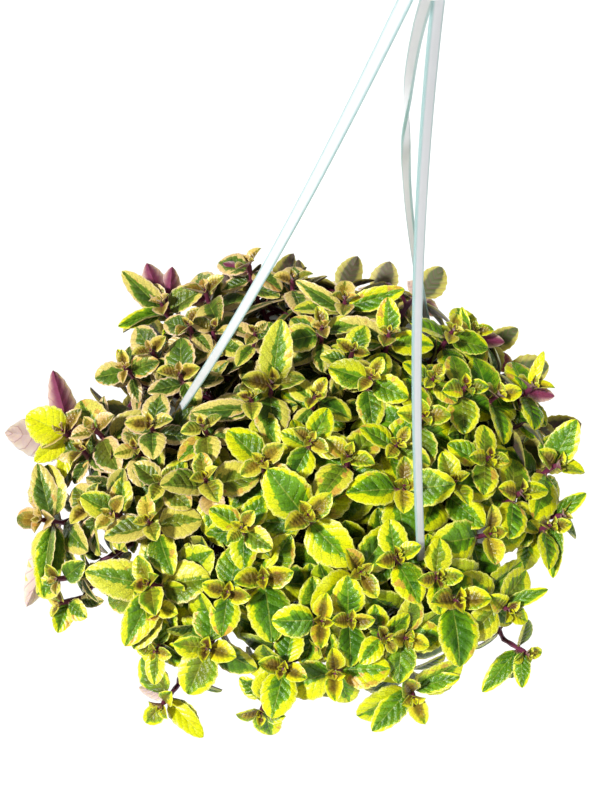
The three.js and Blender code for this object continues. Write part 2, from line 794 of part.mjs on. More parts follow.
// The whole object
const whole = new THREE.Group();
const below = new THREE.Group(); // measured from the middle of the rim
below.position.z = -bearingHeight;
whole.add(below);

const basketSolid = makeBasket();
const hangerSolid = makeHanger();
const mixSolid = makeMix();
remember(basketSolid, "basket");
remember(hangerSolid, "hanger");

const stemName = (i) => `shoot_${String(i + 1).padStart(2, "0")}`;
const plants = planStems().map((shoots, i) => growStem(shoots, stemName(i)));
remember(mixSolid, "mix");
growLeaves(plants);

const holes = plants.map((plant) => makeHole(plant.limbs[0]));
const potted = mixSolid.subtract(wasm.Manifold.union(holes));

below.add(toMesh(basketSolid, "basket", finish.basket));
below.add(toMesh(potted, "potting_mix", finish.mix));
below.add(toMesh(hangerSolid, "hanger", finish.hanger));
for (const { name, limbs } of plants) {
  const grown = wasm.Manifold.union(limbs.map(({ shape }) => solidOf(shape)));
  below.add(toMesh(grown, name, finish.leaf));
}

export default whole;
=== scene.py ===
"""A speckled spurflower in a hanging basket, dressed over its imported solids.

Lengths are in millimetres from the middle of the basket's rim, z up. They become metres from the hook's
bearing point when a mesh is made. The stems and the leaves are worked out by the same rules as the solids,
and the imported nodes' corners tell which bend each one has, so every fine stem lies on its solid.
"""

import math
from types import SimpleNamespace as Sizes

import bpy
import numpy as np
from mathutils import Matrix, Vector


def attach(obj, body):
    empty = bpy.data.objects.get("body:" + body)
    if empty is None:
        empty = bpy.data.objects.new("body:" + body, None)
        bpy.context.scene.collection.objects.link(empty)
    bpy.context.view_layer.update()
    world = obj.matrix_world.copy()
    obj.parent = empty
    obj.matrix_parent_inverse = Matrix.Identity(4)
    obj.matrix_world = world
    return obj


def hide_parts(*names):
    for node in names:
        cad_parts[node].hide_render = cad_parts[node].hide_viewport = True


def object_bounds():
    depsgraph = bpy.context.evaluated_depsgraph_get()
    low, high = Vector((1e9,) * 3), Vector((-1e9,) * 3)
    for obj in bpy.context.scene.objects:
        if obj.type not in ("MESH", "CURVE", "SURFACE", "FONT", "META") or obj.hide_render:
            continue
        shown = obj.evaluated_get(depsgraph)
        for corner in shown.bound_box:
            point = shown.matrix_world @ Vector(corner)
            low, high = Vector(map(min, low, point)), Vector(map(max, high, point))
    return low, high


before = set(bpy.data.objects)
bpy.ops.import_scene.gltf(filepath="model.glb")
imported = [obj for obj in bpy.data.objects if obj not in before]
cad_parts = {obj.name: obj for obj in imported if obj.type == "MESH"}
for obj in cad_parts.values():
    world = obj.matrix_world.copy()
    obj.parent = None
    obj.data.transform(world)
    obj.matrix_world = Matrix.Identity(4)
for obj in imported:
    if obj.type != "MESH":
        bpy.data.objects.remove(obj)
cad_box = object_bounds()

UP = np.array([0.0, 0.0, 1.0])

# The basket, measured from the middle of its rim
basket = Sizes(
    height=150, base_radius=80, bevel_width=3, bevel_height=4, shoulder_radius=115, wall=2.2, floor=3,
    flange_radius=131, flange=3, skirt=10, skirt_wall=2.5, drain_ring=52, drain_hole=6, drains=5, sides=112,
    edge=0.8, base_inset=6, floor_inset=10,
)
# What cuts its holes reaches this far below and above the wall that it cuts
drain_cut = Sizes(below=5, above=10, sides=32)
slot_cut = Sizes(low=-12, high=10, play=0.8)

# The potting mix, level nearly out to the crown's edge and lower at the wall
mix = Sizes(top=-10, crown_radius=62, crown_edge=-11, wall_edge=-16, hole_depth=11, stem_top=-9, gap=0.3)
mix_skin = Sizes(inner_radius=3, rings=40, sides=120, relief=1.1, seed=5)
crumbs = Sizes(
    count=420, from_wall=6, smallest=0.7, largest=2.2, sides=5, uneven=0.25, seed=11,
    widths=[0.45, 1, 0.85, 0.3], heights=[-0.5, -0.1, 0.5, 0.8],
)

# The hanger: three flat straps from a hub, each locked under the rim by a barbed end
hanger = Sizes(
    hub_height=430, hub_radius=13, hub_half_height=6, hub_bevel=4, strap_width=5.6, strap_thickness=2,
    strap_radius=125, strap_start=5, strap_foot=8, barb_width=9, barb_length=8,
    hook_radius=17, hook_bar=3.2, hook_centre=42, hook_neck=[(0, -26), (3.5, -19.5)], hook_from=-45,
    hook_to=202.5, hook_step=7.5, hook_sides=14, hub_bore=2, hub_edge=1.5, hub_sides=48, steps=56,
)
# The barb's halves narrow along its length, as shares of its width and its length
barb_profile = Sizes(widths=[0.92, 1, 0.6, 0.45], lengths=[0, 0.15, 0.85, 1])
# Each strap's width turns from the first to the second of its turns, between two shares of its length
straps = [
    Sizes(bearing=182, inward=6, sideways=0, turns=(-61, 0), turning=(0.75, 1)),
    Sizes(bearing=302, inward=28, sideways=8, turns=(0, 0), turning=(0, 1)),
    Sizes(bearing=62, inward=-24, sideways=32, turns=(0, 180), turning=(0.25, 0.6)),
]
bearing_height = hanger.hub_height + hanger.hook_centre + hanger.hook_radius - hanger.hook_bar

# Where the photograph was taken from. The picture is 600 by 800 pixels.
photo = Sizes(width=600, height=800, focal=1087)
eye = np.array([-30.0, -327.0, 710.0])
aim = Sizes(yaw=-0.2, pitch=62.7, roll=6.4)

# The mound that the shoot tips lie on, wider to the left and the front
mound = Sizes(middle=-10, rise=90, radius=190, to_left=25, to_front=12, oval=13)
search = np.arange(450.0, 1150.0)

# Each stem lists its shoot tips as (x, y, turn, size): the pixel of the tip in the photograph, the way its
# youngest pair of leaves points there in degrees from the right, and its size, where 1 is typical
stems_in_photo = [
    [(160, 301, 115, 1), (205, 290, 20, 1)],
    [(180, 375, 0, 0.9), (190, 328, 60, 0.75)],
    [(152, 427, 0, 0.85), (133, 445, 20, 0.8), (160, 480, 60, 0.75)],
    [(92, 427, 35, 1)],
    [(62, 430, 60, 1.1)],
    [(125, 368, 100, 0.7), (152, 352, 30, 0.8)],
    [(250, 268, 60, 0.8), (292, 272, 10, 0.8)],
    [(212, 325, 150, 0.85), (255, 330, 60, 0.7)],
    [(345, 298, 95, 1.15)],
    [(389, 333, 80, 1)],
    [(371, 377, 60, 0.85)],
    [(322, 330, 100, 0.85), (352, 355, 150, 0.7), (316, 392, 60, 0.75)],
    [(272, 380, 0, 1.15)],
    [(250, 396, 95, 1)],
    [(348, 455, 145, 1.1)],
    [(262, 462, 45, 1), (310, 442, 150, 0.8)],
    [(308, 516, 40, 1.2)],
    [(262, 578, 5, 1.15)],
    [(226, 592, 160, 0.9)],
    [(205, 650, 165, 1.1)],
    [(147, 583, 110, 1.2)],
    [(148, 520, 110, 1), (112, 514, 60, 0.8)],
    [(45, 520, 0, 1.15)],
    [(62, 578, 120, 0.65), (52, 607, 60, 0.6)],
    [(78, 447, 70, 0.8), (85, 505, 60, 0.85)],
    [(203, 425, 20, 0.8)],
    [(205, 478, 110, 1.1), (242, 528, 60, 0.75)],
    [(403, 487, 90, 1.1)],
    [(362, 572, 125, 1.1)],
    [(352, 622, 0, 0.85), (322, 622, 80, 1)],
    [(398, 556, 20, 0.85)],
    [(455, 480, 100, 1.05)],
    [(465, 388, 10, 0.95), (432, 380, 60, 0.7)],
    [(450, 335, 70, 0.9), (478, 325, 10, 0.9)],
    [(502, 391, 10, 1), (535, 384, 0, 0.9)],
    [(558, 464, -15, 1.1)],
    [(520, 492, 0, 1), (488, 458, 0, 0.8)],
    [(422, 418, 10, 1.1), (400, 440, 60, 0.8)],
    [(495, 533, 95, 1.2)],
    [(568, 515, 45, 0.7), (553, 525, 0, 0.8)],
    [(458, 600, 0, 1.15), (438, 578, 0, 0.8)],
    [(505, 608, -40, 1), (522, 648, 0, 0.75)],
    [(410, 642, 170, 0.9), (388, 640, 130, 0.65)],
    [(415, 700, 115, 1.15)],
    [(335, 674, 90, 1), (283, 668, -20, 0.9)],
    [(262, 710, 0, 0.85)],
    [(165, 700, 45, 1)],
    [(150, 607, 155, 1), (150, 655, 0, 0.7)],
]

# Single leaves that stand out in the photograph: (stem, shoot, millimetres below its tip, x, y, width, look),
# where x and y are the pixel of the leaf's own tip and the width is a share of its length, as leaf.width is
leaves_in_photo = [
    (1, 1, 8, 119, 326, 0.17, "green"), (1, 1, 12, 123, 272, 0.19, "creamy"),
    (1, 1, 12, 148, 266, 0.26, "purple_back"), (1, 1, 14, 172, 270, 0.24, "purple_back"),
    (1, 1, 22, 165, 341, 0.3, "green"), (1, 2, 10, 180, 297, 0.25, "purple_back"),
    (5, 1, 6, 28, 416, 0.45, "yellow"), (5, 1, 9, 35, 461, 0.25, "yellow"),
    (5, 1, 10, 61, 480, 0.17, "yellow"), (5, 1, 13, 54, 374, 0.18, "purple_back"),
    (5, 1, 14, 9, 433, 0.34, "pink_back"), (6, 1, 10, 118, 350, 0.24, "yellow_green"),
    (7, 1, 10, 225, 264, 0.22, "purple_back"), (9, 1, 8, 402, 290, 0.18, "yellow_green"),
    (9, 1, 12, 298, 282, 0.15, "creamy"), (10, 1, 11, 338, 322, 0.28, "creamy"),
    (10, 1, 5, 388, 298, 0.29, "yellow_green"), (13, 1, 9, 281, 321, 0.23, "half_yellow"),
    (14, 1, 14, 194, 412, 0.18, "creamy"), (21, 1, 14, 126, 644, 0.25, "yellow_green"),
    (21, 1, 18, 88, 572, 0.26, "half_yellow"), (23, 1, 12, 38, 466, 0.22, "creamy"),
    (23, 1, 15, 44, 596, 0.19, "green"), (23, 1, 22, 28, 603, 0.17, "pink_back"),
    (24, 2, 9, 58, 632, 0.32, "yellow_green"), (27, 1, 20, 214, 516, 0.48, "cream"),
    (34, 2, 7, 502, 342, 0.24, "purple_back"), (34, 2, 8, 462, 308, 0.16, "yellow_green"),
    (35, 2, 6, 543, 353, 0.14, "yellow"), (35, 2, 8, 552, 396, 0.3, "purple_back"),
    (35, 2, 12, 538, 420, 0.24, "creamy"), (36, 1, 12, 576, 421, 0.25, "green"),
    (36, 1, 14, 541, 535, 0.13, "green"), (40, 1, 8, 553, 576, 0.15, "green"),
    (40, 1, 10, 585, 494, 0.2, "green"), (42, 1, 9, 546, 590, 0.15, "green"),
    (42, 2, 9, 484, 690, 0.18, "green"), (42, 2, 6, 522, 686, 0.24, "green"),
    (44, 1, 12, 459, 677, 0.18, "green"), (44, 1, 12, 373, 730, 0.23, "green"),
    (46, 1, 10, 265, 674, 0.32, "green"), (47, 1, 8, 202, 736, 0.19, "yellow"),
    (47, 1, 10, 141, 688, 0.22, "pink_back"),
]
looks = {
    "green": Sizes(seed=0.3, age=0.5, pale=0.1, back=False),
    "yellow_green": Sizes(seed=0.62, age=0.45, pale=0.1, back=False),
    "half_yellow": Sizes(seed=0.47, age=0.45, pale=0.4, back=False),
    "yellow": Sizes(seed=0.995, age=0.45, pale=0.05, back=False),
    "creamy": Sizes(seed=0.7, age=0.5, pale=0.8, back=False),
    "cream": Sizes(seed=0.99, age=0.3, pale=1.0, back=False),
    "purple_back": Sizes(seed=0.95, age=0.1, pale=0.3, back=True),
    "pink_back": Sizes(seed=0.1, age=0.0, pale=0.8, back=True),
}
posed_rise = 12  # degrees that such a leaf's tip rises towards the eye
posed_back_rise = -24  # the same for a leaf that shows its back
posed_keys = 20000  # where such leaves' own numbers start, past those of all the others

# Stems on the side that the photograph doesn't show, each with one tip over the rim and one that hangs
hidden_bearings = [13, 40, 74, 98, 118, 142, 164]
hidden_tips = [Sizes(turn=-5, out=20, height=-12, dip=55), Sizes(turn=8, out=36, height=-50, dip=66)]
hidden_pair_rise = 0.6  # how far their pairs point upwards for 1 aside

# Stems: half their width at the root, at a branch and at the tip, their straight ends, their swellings, and
# how far from the tip their skin starts and ends to age
stem = Sizes(
    root=2.1, branch=1.35, tip=1.3, straight=24, swelling=0.3, swelling_length=2.4, spacing=4,
    curve_points=49, end=1, end_taper=0.55, ages_from=5, ages_to=90, leaf_gap=0.1,
)
growth = Sizes(outwards=0.85, upwards=0.35, up_from=-40, up_to=20, turns_up=0.8, low_from=-20, low_to=20)
arch = Sizes(
    seen_from=-70, full_lean=95, nearest=6, root_in=8, root_out=82, root_power=1.3, rise=24, rise_more=46,
    reach=6, reach_more=34, clear_height=26, shorten=0.3, over=1.35,
)
branch = Sizes(leaving=14, arriving=16, clear_height=14, over=0.6)
stray = Sizes(
    tip=6, hidden_out=4, growth=0.16, root=5, leaf_turn=12, leaf_tilt=12, leaf_roll=20, leaf_length=0.1,
    leaf_width=0.03,
)

# Pairs of leaves, each a quarter turn from the next. Ranks 0 and 1 are in the solids, with the shares along
# the leaf where their edges wave. Ranks 6 and 7 are the unfolding pairs, the others older ones down the stem.
young_knots = [0.3, 0.7]
grown_knots = [0.2, 0.5, 0.82]
packed_pairs = [
    Sizes(below=4, length=17, tilt=58, knots=young_knots, age=0.2),
    Sizes(below=12, length=31, tilt=80, knots=grown_knots, age=0.45),
]
packed_half_thick = 0.4
older_pairs = [
    Sizes(rank=2, below=21, length=30, tilt=84),
    Sizes(rank=3, below=31, length=31, tilt=88),
    Sizes(rank=4, below=42, length=32, tilt=92),
    Sizes(rank=5, below=54, length=31, tilt=95),
    Sizes(rank=8, below=67, length=30, tilt=98),
    Sizes(rank=9, below=81, length=29, tilt=98),
]
young_pairs = [Sizes(rank=6, below=0.4, length=5, tilt=20), Sizes(rank=7, below=1.8, length=9.5, tilt=40)]
bud_half = 0.7
leaf = Sizes(width=0.36, fold=0.1, curl=0.16, wave=0.035, petiole=0.08, vein_pairs=6)

# A blade's outline, its petiole's least half width for a leaf of typical length, its teeth, and how far its
# skins stand off its middle on the blade and at the petiole
blade = Sizes(
    fullness=1.05, foot_shift=0.82, bluntness=0.52, petiole_half=0.9, petiole_taper=0.55, typical=30,
    least_petiole=0.35, least_thickness=0.4, tooth_out=1.035, tooth_in=0.97, upper=0.22, upper_petiole=0.6,
    under=0.75, under_petiole=0.5,
)
# Where the rows of a leaf's grid lie: in the stem, on the petiole, then from its end on, closer to the tip
blade_rows = Sizes(foot=-0.03, petiole=0.7, first=1.3, closing=1.35, petiole_fades=(0.02, 1.6))
young_grid, small_grid, big_grid = (6, 3), (10, 5), (15, 5)

# How a blade's form follows its age, its paleness and chance. It is a bud's until the age of 1 / bud_ends.
form = Sizes(bud_ends=2.5, bud_fold=0.5, fold=0.15, pale_fold=0.3, puff=0.14, bud_puff=0.08, wave_points=7)
vary = Sizes(pale=0.3, curl=0.08, puff=0.05, veins=0.8, age=0.1, most_seed=0.98)
pale_side = Sizes(backwards=0.65, rightwards=0.75, low=-60, high=140)

# The older pairs: the stem that stays bare over the mix or a fork, their ages, what turns their faces, and
# how much narrower pale ones are. A place costs 1 for each point of foliage there, and the costs below for
# each of the leaf's points in the pot, near the mound's surface or outside. At the last cost no leaf is made.
older = Sizes(
    bare_root=26, bare_fork=8, first_age=0.6, age_step=0.08, own_face=0.9, light=0.8, outward=0.4,
    pale_narrower=0.3, in_pot=6, near_surface=8, surface=-0.12, outside=20, leaf_before=0.1, most=34,
)
older_bends = [(tilt, turn, scale) for scale in (1, 0.8) for tilt in (0, -22, 20) for turn in (0, 28, -28)]
room_u = np.linspace(0.15, 1, 7)
room_v = np.linspace(-0.9, 0.9, 5)
room_margin = 4
light_from = np.array([-0.15, -0.35, 1.0])

# The bends that the solids try in turn: (tilt, turn, scale) for a leaf, (turn, reach, lift) for a stem
leaf_bends = [
    (0, 0, 1), (12, 0, 1), (-12, 0, 1), (0, 14, 1), (0, -14, 1), (24, 0, 1), (-24, 0, 1), (14, 20, 0.95),
    (-14, -20, 0.95), (36, 0, 0.95), (-34, 10, 0.9), (0, 0, 0.75), (18, -16, 0.75), (-18, 16, 0.75),
    (30, 26, 0.7), (-30, -26, 0.7),
]
stem_turns = [0, 6, -6, 12, -12, 19, -19, 27, -27]
stem_shifts = [(0, 0), (9, 6), (-9, -6), (-16, 12), (16, -4)]
stem_bends = [(turn, reach, lift) for reach, lift in stem_shifts for turn in stem_turns]
side_starts = [3, 4]
same_corner = 0.05
keys_per_shoot = 16

# The studio, in metres: the floor, each light as the way towards it, its width in degrees and its strength,
# and the surround as it lights the plant and as the camera sees it
studio = Sizes(
    floor_half=14.0, floor_height=-3.5, key=((-0.7, -0.36, 1.0), 7, 4.0), fill=((0.55, -0.75, 0.45), 50, 0.8),
    surround_light=0.15, surround_seen=0.82,
)


# Small mathematics

def unit(vectors):
    """Vectors divided by their lengths."""
    return vectors / np.linalg.norm(vectors, axis=-1, keepdims=True)


def around(bearing, radius, z):
    """The point at a bearing in degrees and a radius from the axis, at height z."""
    angle = math.radians(bearing)
    return np.array([math.cos(angle) * radius, math.sin(angle) * radius, z], float)


def turned_about(vectors, axis, degrees):
    """Vectors turned about a unit axis: v cos a + (axis x v) sin a + axis (axis . v)(1 - cos a)."""
    angle = np.radians(np.asarray(degrees, float))[..., None]
    along = np.sum(vectors * axis, axis=-1, keepdims=True)
    return (
        vectors * np.cos(angle)
        + np.cross(axis, vectors) * np.sin(angle)
        + axis * along * (1 - np.cos(angle))
    )


def smoothstep(value, low, high):
    """0 below low, 1 above high, and t*t*(3 - 2t) between."""
    t = np.clip((value - low) / (high - low), 0, 1)
    return t * t * (3 - 2 * t)


def bezier(start, start_handle, end_handle, end, t):
    """The cubic curve (1-t)^3 a + 3(1-t)^2 t b + 3(1-t) t^2 c + t^3 d, one point for each t."""
    t = np.asarray(t, float)[..., None]
    s = 1 - t
    return s**3 * start + 3 * s * s * t * start_handle + 3 * s * t * t * end_handle + t**3 * end


def draw(key, use):
    """A number from 0 to 1 that is always the same for the same two whole numbers."""
    state = (key * 7919 + use * 104729 + 12345) % 2**32
    for _ in range(4):
        state = (state * 1664525 + 1013904223) % 2**32
    return state / 2**32


def spread(key, use, size):
    return (2 * draw(key, use) - 1) * size


# The plan of the plant, by the rules of the solids

def camera_axes():
    """The camera's own forward, right and up."""
    yaw, pitch, roll = np.radians([aim.yaw, aim.pitch, aim.roll])
    forward = np.array([np.sin(yaw) * np.cos(pitch), np.cos(yaw) * np.cos(pitch), -np.sin(pitch)])
    level = np.array([np.cos(yaw), -np.sin(yaw), 0])
    above = np.cross(level, forward)
    right = level * np.cos(roll) + above * np.sin(roll)
    return forward, right, above * np.cos(roll) - level * np.sin(roll)


camera_forward, camera_right, camera_up = camera_axes()


def mound_radius(points):
    """radius - (to_left cos b + to_front sin b) + oval cos 2b at the points' bearing b."""
    bearing = np.arctan2(points[..., 1], points[..., 0])
    shift = mound.to_left * np.cos(bearing) + mound.to_front * np.sin(bearing)
    return mound.radius - shift + mound.oval * np.cos(2 * bearing)


def mound_level(points):
    """0 on the mound's surface, negative inside: (x2 + y2) / radius2 + ((z - middle) / rise)2 - 1."""
    level = np.sum(points[..., :2] ** 2, axis=-1) / mound_radius(points) ** 2
    return level + ((points[..., 2] - mound.middle) / mound.rise) ** 2 - 1


def mound_normal(point):
    """The way out of the mound at a point: (x / radius2, y / radius2, (z - middle) / rise2), as a unit."""
    level = point[:2] / mound_radius(point) ** 2
    upright = (point[2] - mound.middle) / mound.rise**2
    return unit(np.array([*level, upright]))


def sight_line(x, y):
    """The direction from the eye through a pixel."""
    aside = camera_right * (x - photo.width / 2) + camera_up * (photo.height / 2 - y)
    return unit(camera_forward + aside / photo.focal)


def on_mound(x, y):
    """Where the sight line through a pixel meets the mound, or passes it most closely."""
    points = eye + sight_line(x, y) * search[:, None]
    levels = mound_level(points)
    inside = np.flatnonzero(levels < 0)
    return points[inside[0] if inside.size else np.argmin(levels)]


def make_shoot(tip, normal, towards, size, key):
    """A shoot: its tip, the way it grows, and the way its youngest pair of leaves points."""
    upwards = growth.upwards * smoothstep(tip[2], growth.up_from, growth.up_to)
    grows = normal * growth.outwards + UP * upwards
    grows[:2] += spread(key, 2, stray.growth), spread(key, 3, stray.growth)
    grows = unit(grows)
    side = unit(towards - grows * (towards @ grows))
    return Sizes(tip=tip, neck=tip - grows * stem.straight, grows=grows, side=side, size=size, key=key)


def photo_shoot(x, y, turn, size, key):
    """A shoot seen in the photograph. The end of one that hangs low turns up towards the light."""
    tip = on_mound(x, y)
    normal = mound_normal(tip)
    tip = tip + normal * spread(key, 1, stray.tip)
    low = 1 - smoothstep(tip[2], growth.low_from, growth.low_to)
    facing = unit(normal + UP * growth.turns_up * low)
    angle = math.radians(turn)
    towards = camera_right * math.cos(angle) + camera_up * math.sin(angle)
    return make_shoot(tip, facing, towards, size, key)


def hidden_shoot(stem_bearing, tip, key):
    """A shoot on the far side, at its own bearing and height past the rim."""
    bearing = stem_bearing + tip.turn
    radius = basket.flange_radius + tip.out + spread(key, 1, stray.hidden_out)
    place = around(bearing, radius, tip.height + spread(key, 10, stray.tip))
    dip = math.radians(tip.dip)
    outward = around(bearing, math.cos(dip), -math.sin(dip))
    aside = around(bearing + 90, 1, hidden_pair_rise)
    return make_shoot(place, outward, aside, 1, key)


def plan_stems():
    """Every stem's shoots, keyed 1, 2, 3 ... in order."""
    stems = []
    key = 0
    for tips in stems_in_photo:
        stems.append([photo_shoot(*tip, key + i + 1) for i, tip in enumerate(tips)])
        key += len(tips)
    for bearing in hidden_bearings:
        stems.append([hidden_shoot(bearing, tip, key + i + 1) for i, tip in enumerate(hidden_tips)])
        key += len(hidden_tips)
    return stems


def lean(tip):
    """How far a tip leans from straight up, as 0 at the crown to 1 where it hangs past the rim."""
    angle = math.atan2(math.hypot(tip[0], tip[1]), tip[2] - arch.seen_from)
    return min(angle / math.radians(arch.full_lean), 1)


def main_route(shoot, bend):
    """The main stem: out of its hole, up, over the rim and out to its tip."""
    turn, reach, lift = bend
    share = lean(shoot.tip)
    bearing = math.degrees(math.atan2(shoot.tip[1], shoot.tip[0])) + turn + spread(shoot.key, 4, stray.root)
    root_radius = max(arch.nearest, arch.root_in + arch.root_out * share**arch.root_power + reach)
    root = around(bearing, root_radius, mix.stem_top)
    root_handle = root + UP * (arch.rise + arch.rise_more * share + lift)
    drop = max(0, arch.clear_height - shoot.neck[2])
    back = arch.reach + share * (arch.reach_more - arch.shorten * drop)
    neck_handle = shoot.neck - shoot.grows * back + UP * (drop * arch.over + lift)
    handles = (root, root_handle, neck_handle, shoot.neck)
    steps = 2 + math.floor(2 * share + 0.5)
    foot = root - UP * (mix.hole_depth - mix.gap)
    path = np.vstack([foot, root, bezier(*handles, np.arange(1, steps + 1) / steps), shoot.tip])
    return Sizes(path=path, handles=handles, rooted=True)


def direction_at(path, step):
    return unit(path[min(step + 1, len(path) - 1)] - path[max(step - 1, 0)])


def side_route(shoot, parent, start_step, bend):
    """A side shoot, which leaves the main stem a little before its neck."""
    turn, reach, lift = bend
    step = len(parent) - start_step
    start = parent[step]
    leaving = turned_about(direction_at(parent, step), UP, turn)
    start_handle = start + leaving * (branch.leaving + reach / 2) + UP * lift
    rise = max(0, branch.clear_height - shoot.neck[2]) * branch.over + lift
    neck_handle = shoot.neck - shoot.grows * branch.arriving + UP * rise
    handles = (start, start_handle, neck_handle, shoot.neck)
    path = np.vstack([start, bezier(*handles, 0.5), shoot.neck, shoot.tip])
    return Sizes(path=path, handles=handles, rooted=False)


def carried_down(side, alongs):
    """Directions square to each step of a line, carried from its tip to its foot."""
    wides = []
    wide = side
    for along in alongs[::-1]:
        wide = unit(wide - along * (wide @ along))
        wides.append(wide)
    return np.array(wides[::-1])


def solid_corners(route, side):
    """The corners of a solid stem: four round each step of its path."""
    steps = len(route.path)
    alongs = np.array([direction_at(route.path, i) for i in range(steps)])
    if route.rooted:
        alongs[:2] = UP
    wides = carried_down(side, alongs)
    foot = stem.root if route.rooted else stem.branch
    half = np.linspace(foot, stem.tip, steps)[:, None]
    thins = np.cross(alongs, wides) * half
    wides = wides * half
    return np.concatenate([route.path + a * wides + b * thins for a in (1, -1) for b in (1, -1)])


def packed_corners(node):
    """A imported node's corners, in millimetres from the middle of the rim."""
    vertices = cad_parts[node].data.vertices
    flat = np.empty(3 * len(vertices), np.float32)
    vertices.foreach_get("co", flat)
    return flat.reshape(-1, 3).astype(float) * 1000 + UP * bearing_height


def shared(points, corners):
    """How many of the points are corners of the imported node."""
    gaps = np.linalg.norm(points[:, None] - corners[None], axis=2).min(axis=1)
    return int(np.sum(gaps < same_corner))


def packed_limb(shoot, routes, corners):
    """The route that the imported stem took."""
    return max(routes, key=lambda route: shared(solid_corners(route, shoot.side), corners))


def leaf_place(at, pair, rank, facing, bend, shoot):
    """Where a leaf leaves the stem, the way it points and the way its face looks."""
    tilt_more, turn_more, scale = bend
    key = shoot.key * keys_per_shoot + rank * 2 + (1 if facing > 0 else 0)
    outward = turned_about(at.wide, at.along, 90 * rank) * facing
    side = turned_about(outward, at.along, turn_more + spread(key, 5, stray.leaf_turn))
    tilt = math.radians(pair.tilt + tilt_more + spread(key, 6, stray.leaf_tilt))
    along = at.along * math.cos(tilt) + side * math.sin(tilt)
    flat = at.along * math.sin(tilt) - side * math.cos(tilt)
    return Sizes(
        base=at.point + outward * at.half,
        along=along,
        face=turned_about(flat, along, spread(key, 7, stray.leaf_roll)),
        length=pair.length * shoot.size * scale * (1 + spread(key, 8, stray.leaf_length)),
        width=leaf.width + spread(key, 9, stray.leaf_width),
        key=key,
    )


def tip_corner(place):
    """The corner at the tip of a solid leaf's upper face."""
    rise = packed_half_thick - leaf.curl * place.length
    return place.base + place.along * place.length + place.face * rise


def packed_leaf(shoot, rank, facing, corners):
    """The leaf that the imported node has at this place, or nothing where none was clear."""
    pair = packed_pairs[rank]
    point = shoot.tip - shoot.grows * pair.below * shoot.size
    at = Sizes(point=point, along=shoot.grows, wide=shoot.side, half=stem.tip + stem.leaf_gap)
    for bend in leaf_bends:
        place = leaf_place(at, pair, rank, facing, bend, shoot)
        if shared(tip_corner(place)[None], corners):
            return place
    return None


# Shapes of stems and leaves

def even_line(points, spacing):
    """The same line with points at even distances: each axis is read off against the distance travelled."""
    steps = np.linalg.norm(np.diff(points, axis=0), axis=1)
    travelled = np.concatenate([[0], np.cumsum(steps)])
    count = max(4, round(travelled[-1] / spacing) + 1)
    wanted = np.linspace(0, travelled[-1], count)
    return np.stack([np.interp(wanted, travelled, points[:, axis]) for axis in range(3)], -1)


def fine_limb(shoot, route):
    """A stem's centre line with the way it runs and faces at each point, and its distance from the tip."""
    line = np.vstack([bezier(*route.handles, np.linspace(0, 1, stem.curve_points)), shoot.tip])
    if route.rooted:
        line = np.vstack([route.path[0], line])
    line = even_line(line, stem.spacing)
    alongs = unit(np.gradient(line, axis=0))
    steps = np.linalg.norm(np.diff(line, axis=0), axis=1)
    from_tip = np.concatenate([np.cumsum(steps[::-1])[::-1], [0]])
    foot = stem.root if route.rooted else stem.branch
    half = np.linspace(foot, stem.tip, len(line))
    return Sizes(
        shoot=shoot, line=line, alongs=alongs, wides=carried_down(shoot.side, alongs), from_tip=from_tip,
        half=half, rooted=route.rooted,
    )


def at_distance(limb, below):
    """A limb's place, directions and half width at a distance below its tip."""
    step = int(np.argmin(np.abs(limb.from_tip - below)))
    point = np.array([np.interp(-below, -limb.from_tip, limb.line[:, axis]) for axis in range(3)])
    return Sizes(point=point, along=limb.alongs[step], wide=limb.wides[step], half=limb.half[step])


def tube(line, wides, thins, section):
    """Rings along a line: each is line + wide * x + thin * y for the section's points (x, y)."""
    return line[:, None] + wides[:, None] * section[..., :1] + thins[:, None] * section[..., 1:]


square_section = np.array(
    [[1, 0.5], [0.5, 1], [-0.5, 1], [-1, 0.5], [-1, -0.5], [-0.5, -1], [0.5, -1], [1, -0.5]]
)


def stem_skin(limb):
    """A square stem that swells at each pair: half * (1 + swelling * sum of exp(-(distance / length)^2))."""
    nodes = np.array([pair.below * limb.shoot.size for pair in packed_pairs + older_pairs])
    gaps = (limb.from_tip[:, None] - nodes) / stem.swelling_length
    swell = 1 + stem.swelling * np.exp(-(gaps**2)).sum(axis=1)
    taper = np.where(limb.from_tip < stem.end, stem.end_taper, 1)
    section = square_section * (limb.half * swell * taper)[:, None, None]
    rings = tube(limb.line, limb.wides, np.cross(limb.alongs, limb.wides), section)[None]
    kind = np.zeros(rings.shape)
    kind[..., 1] = smoothstep(limb.from_tip, stem.ages_from, stem.ages_to)[:, None]
    marks = {"blade": np.zeros(rings.shape), "leaf": kind}
    return loft(rings, np.full(len(square_section), STEM), STEM, marks)


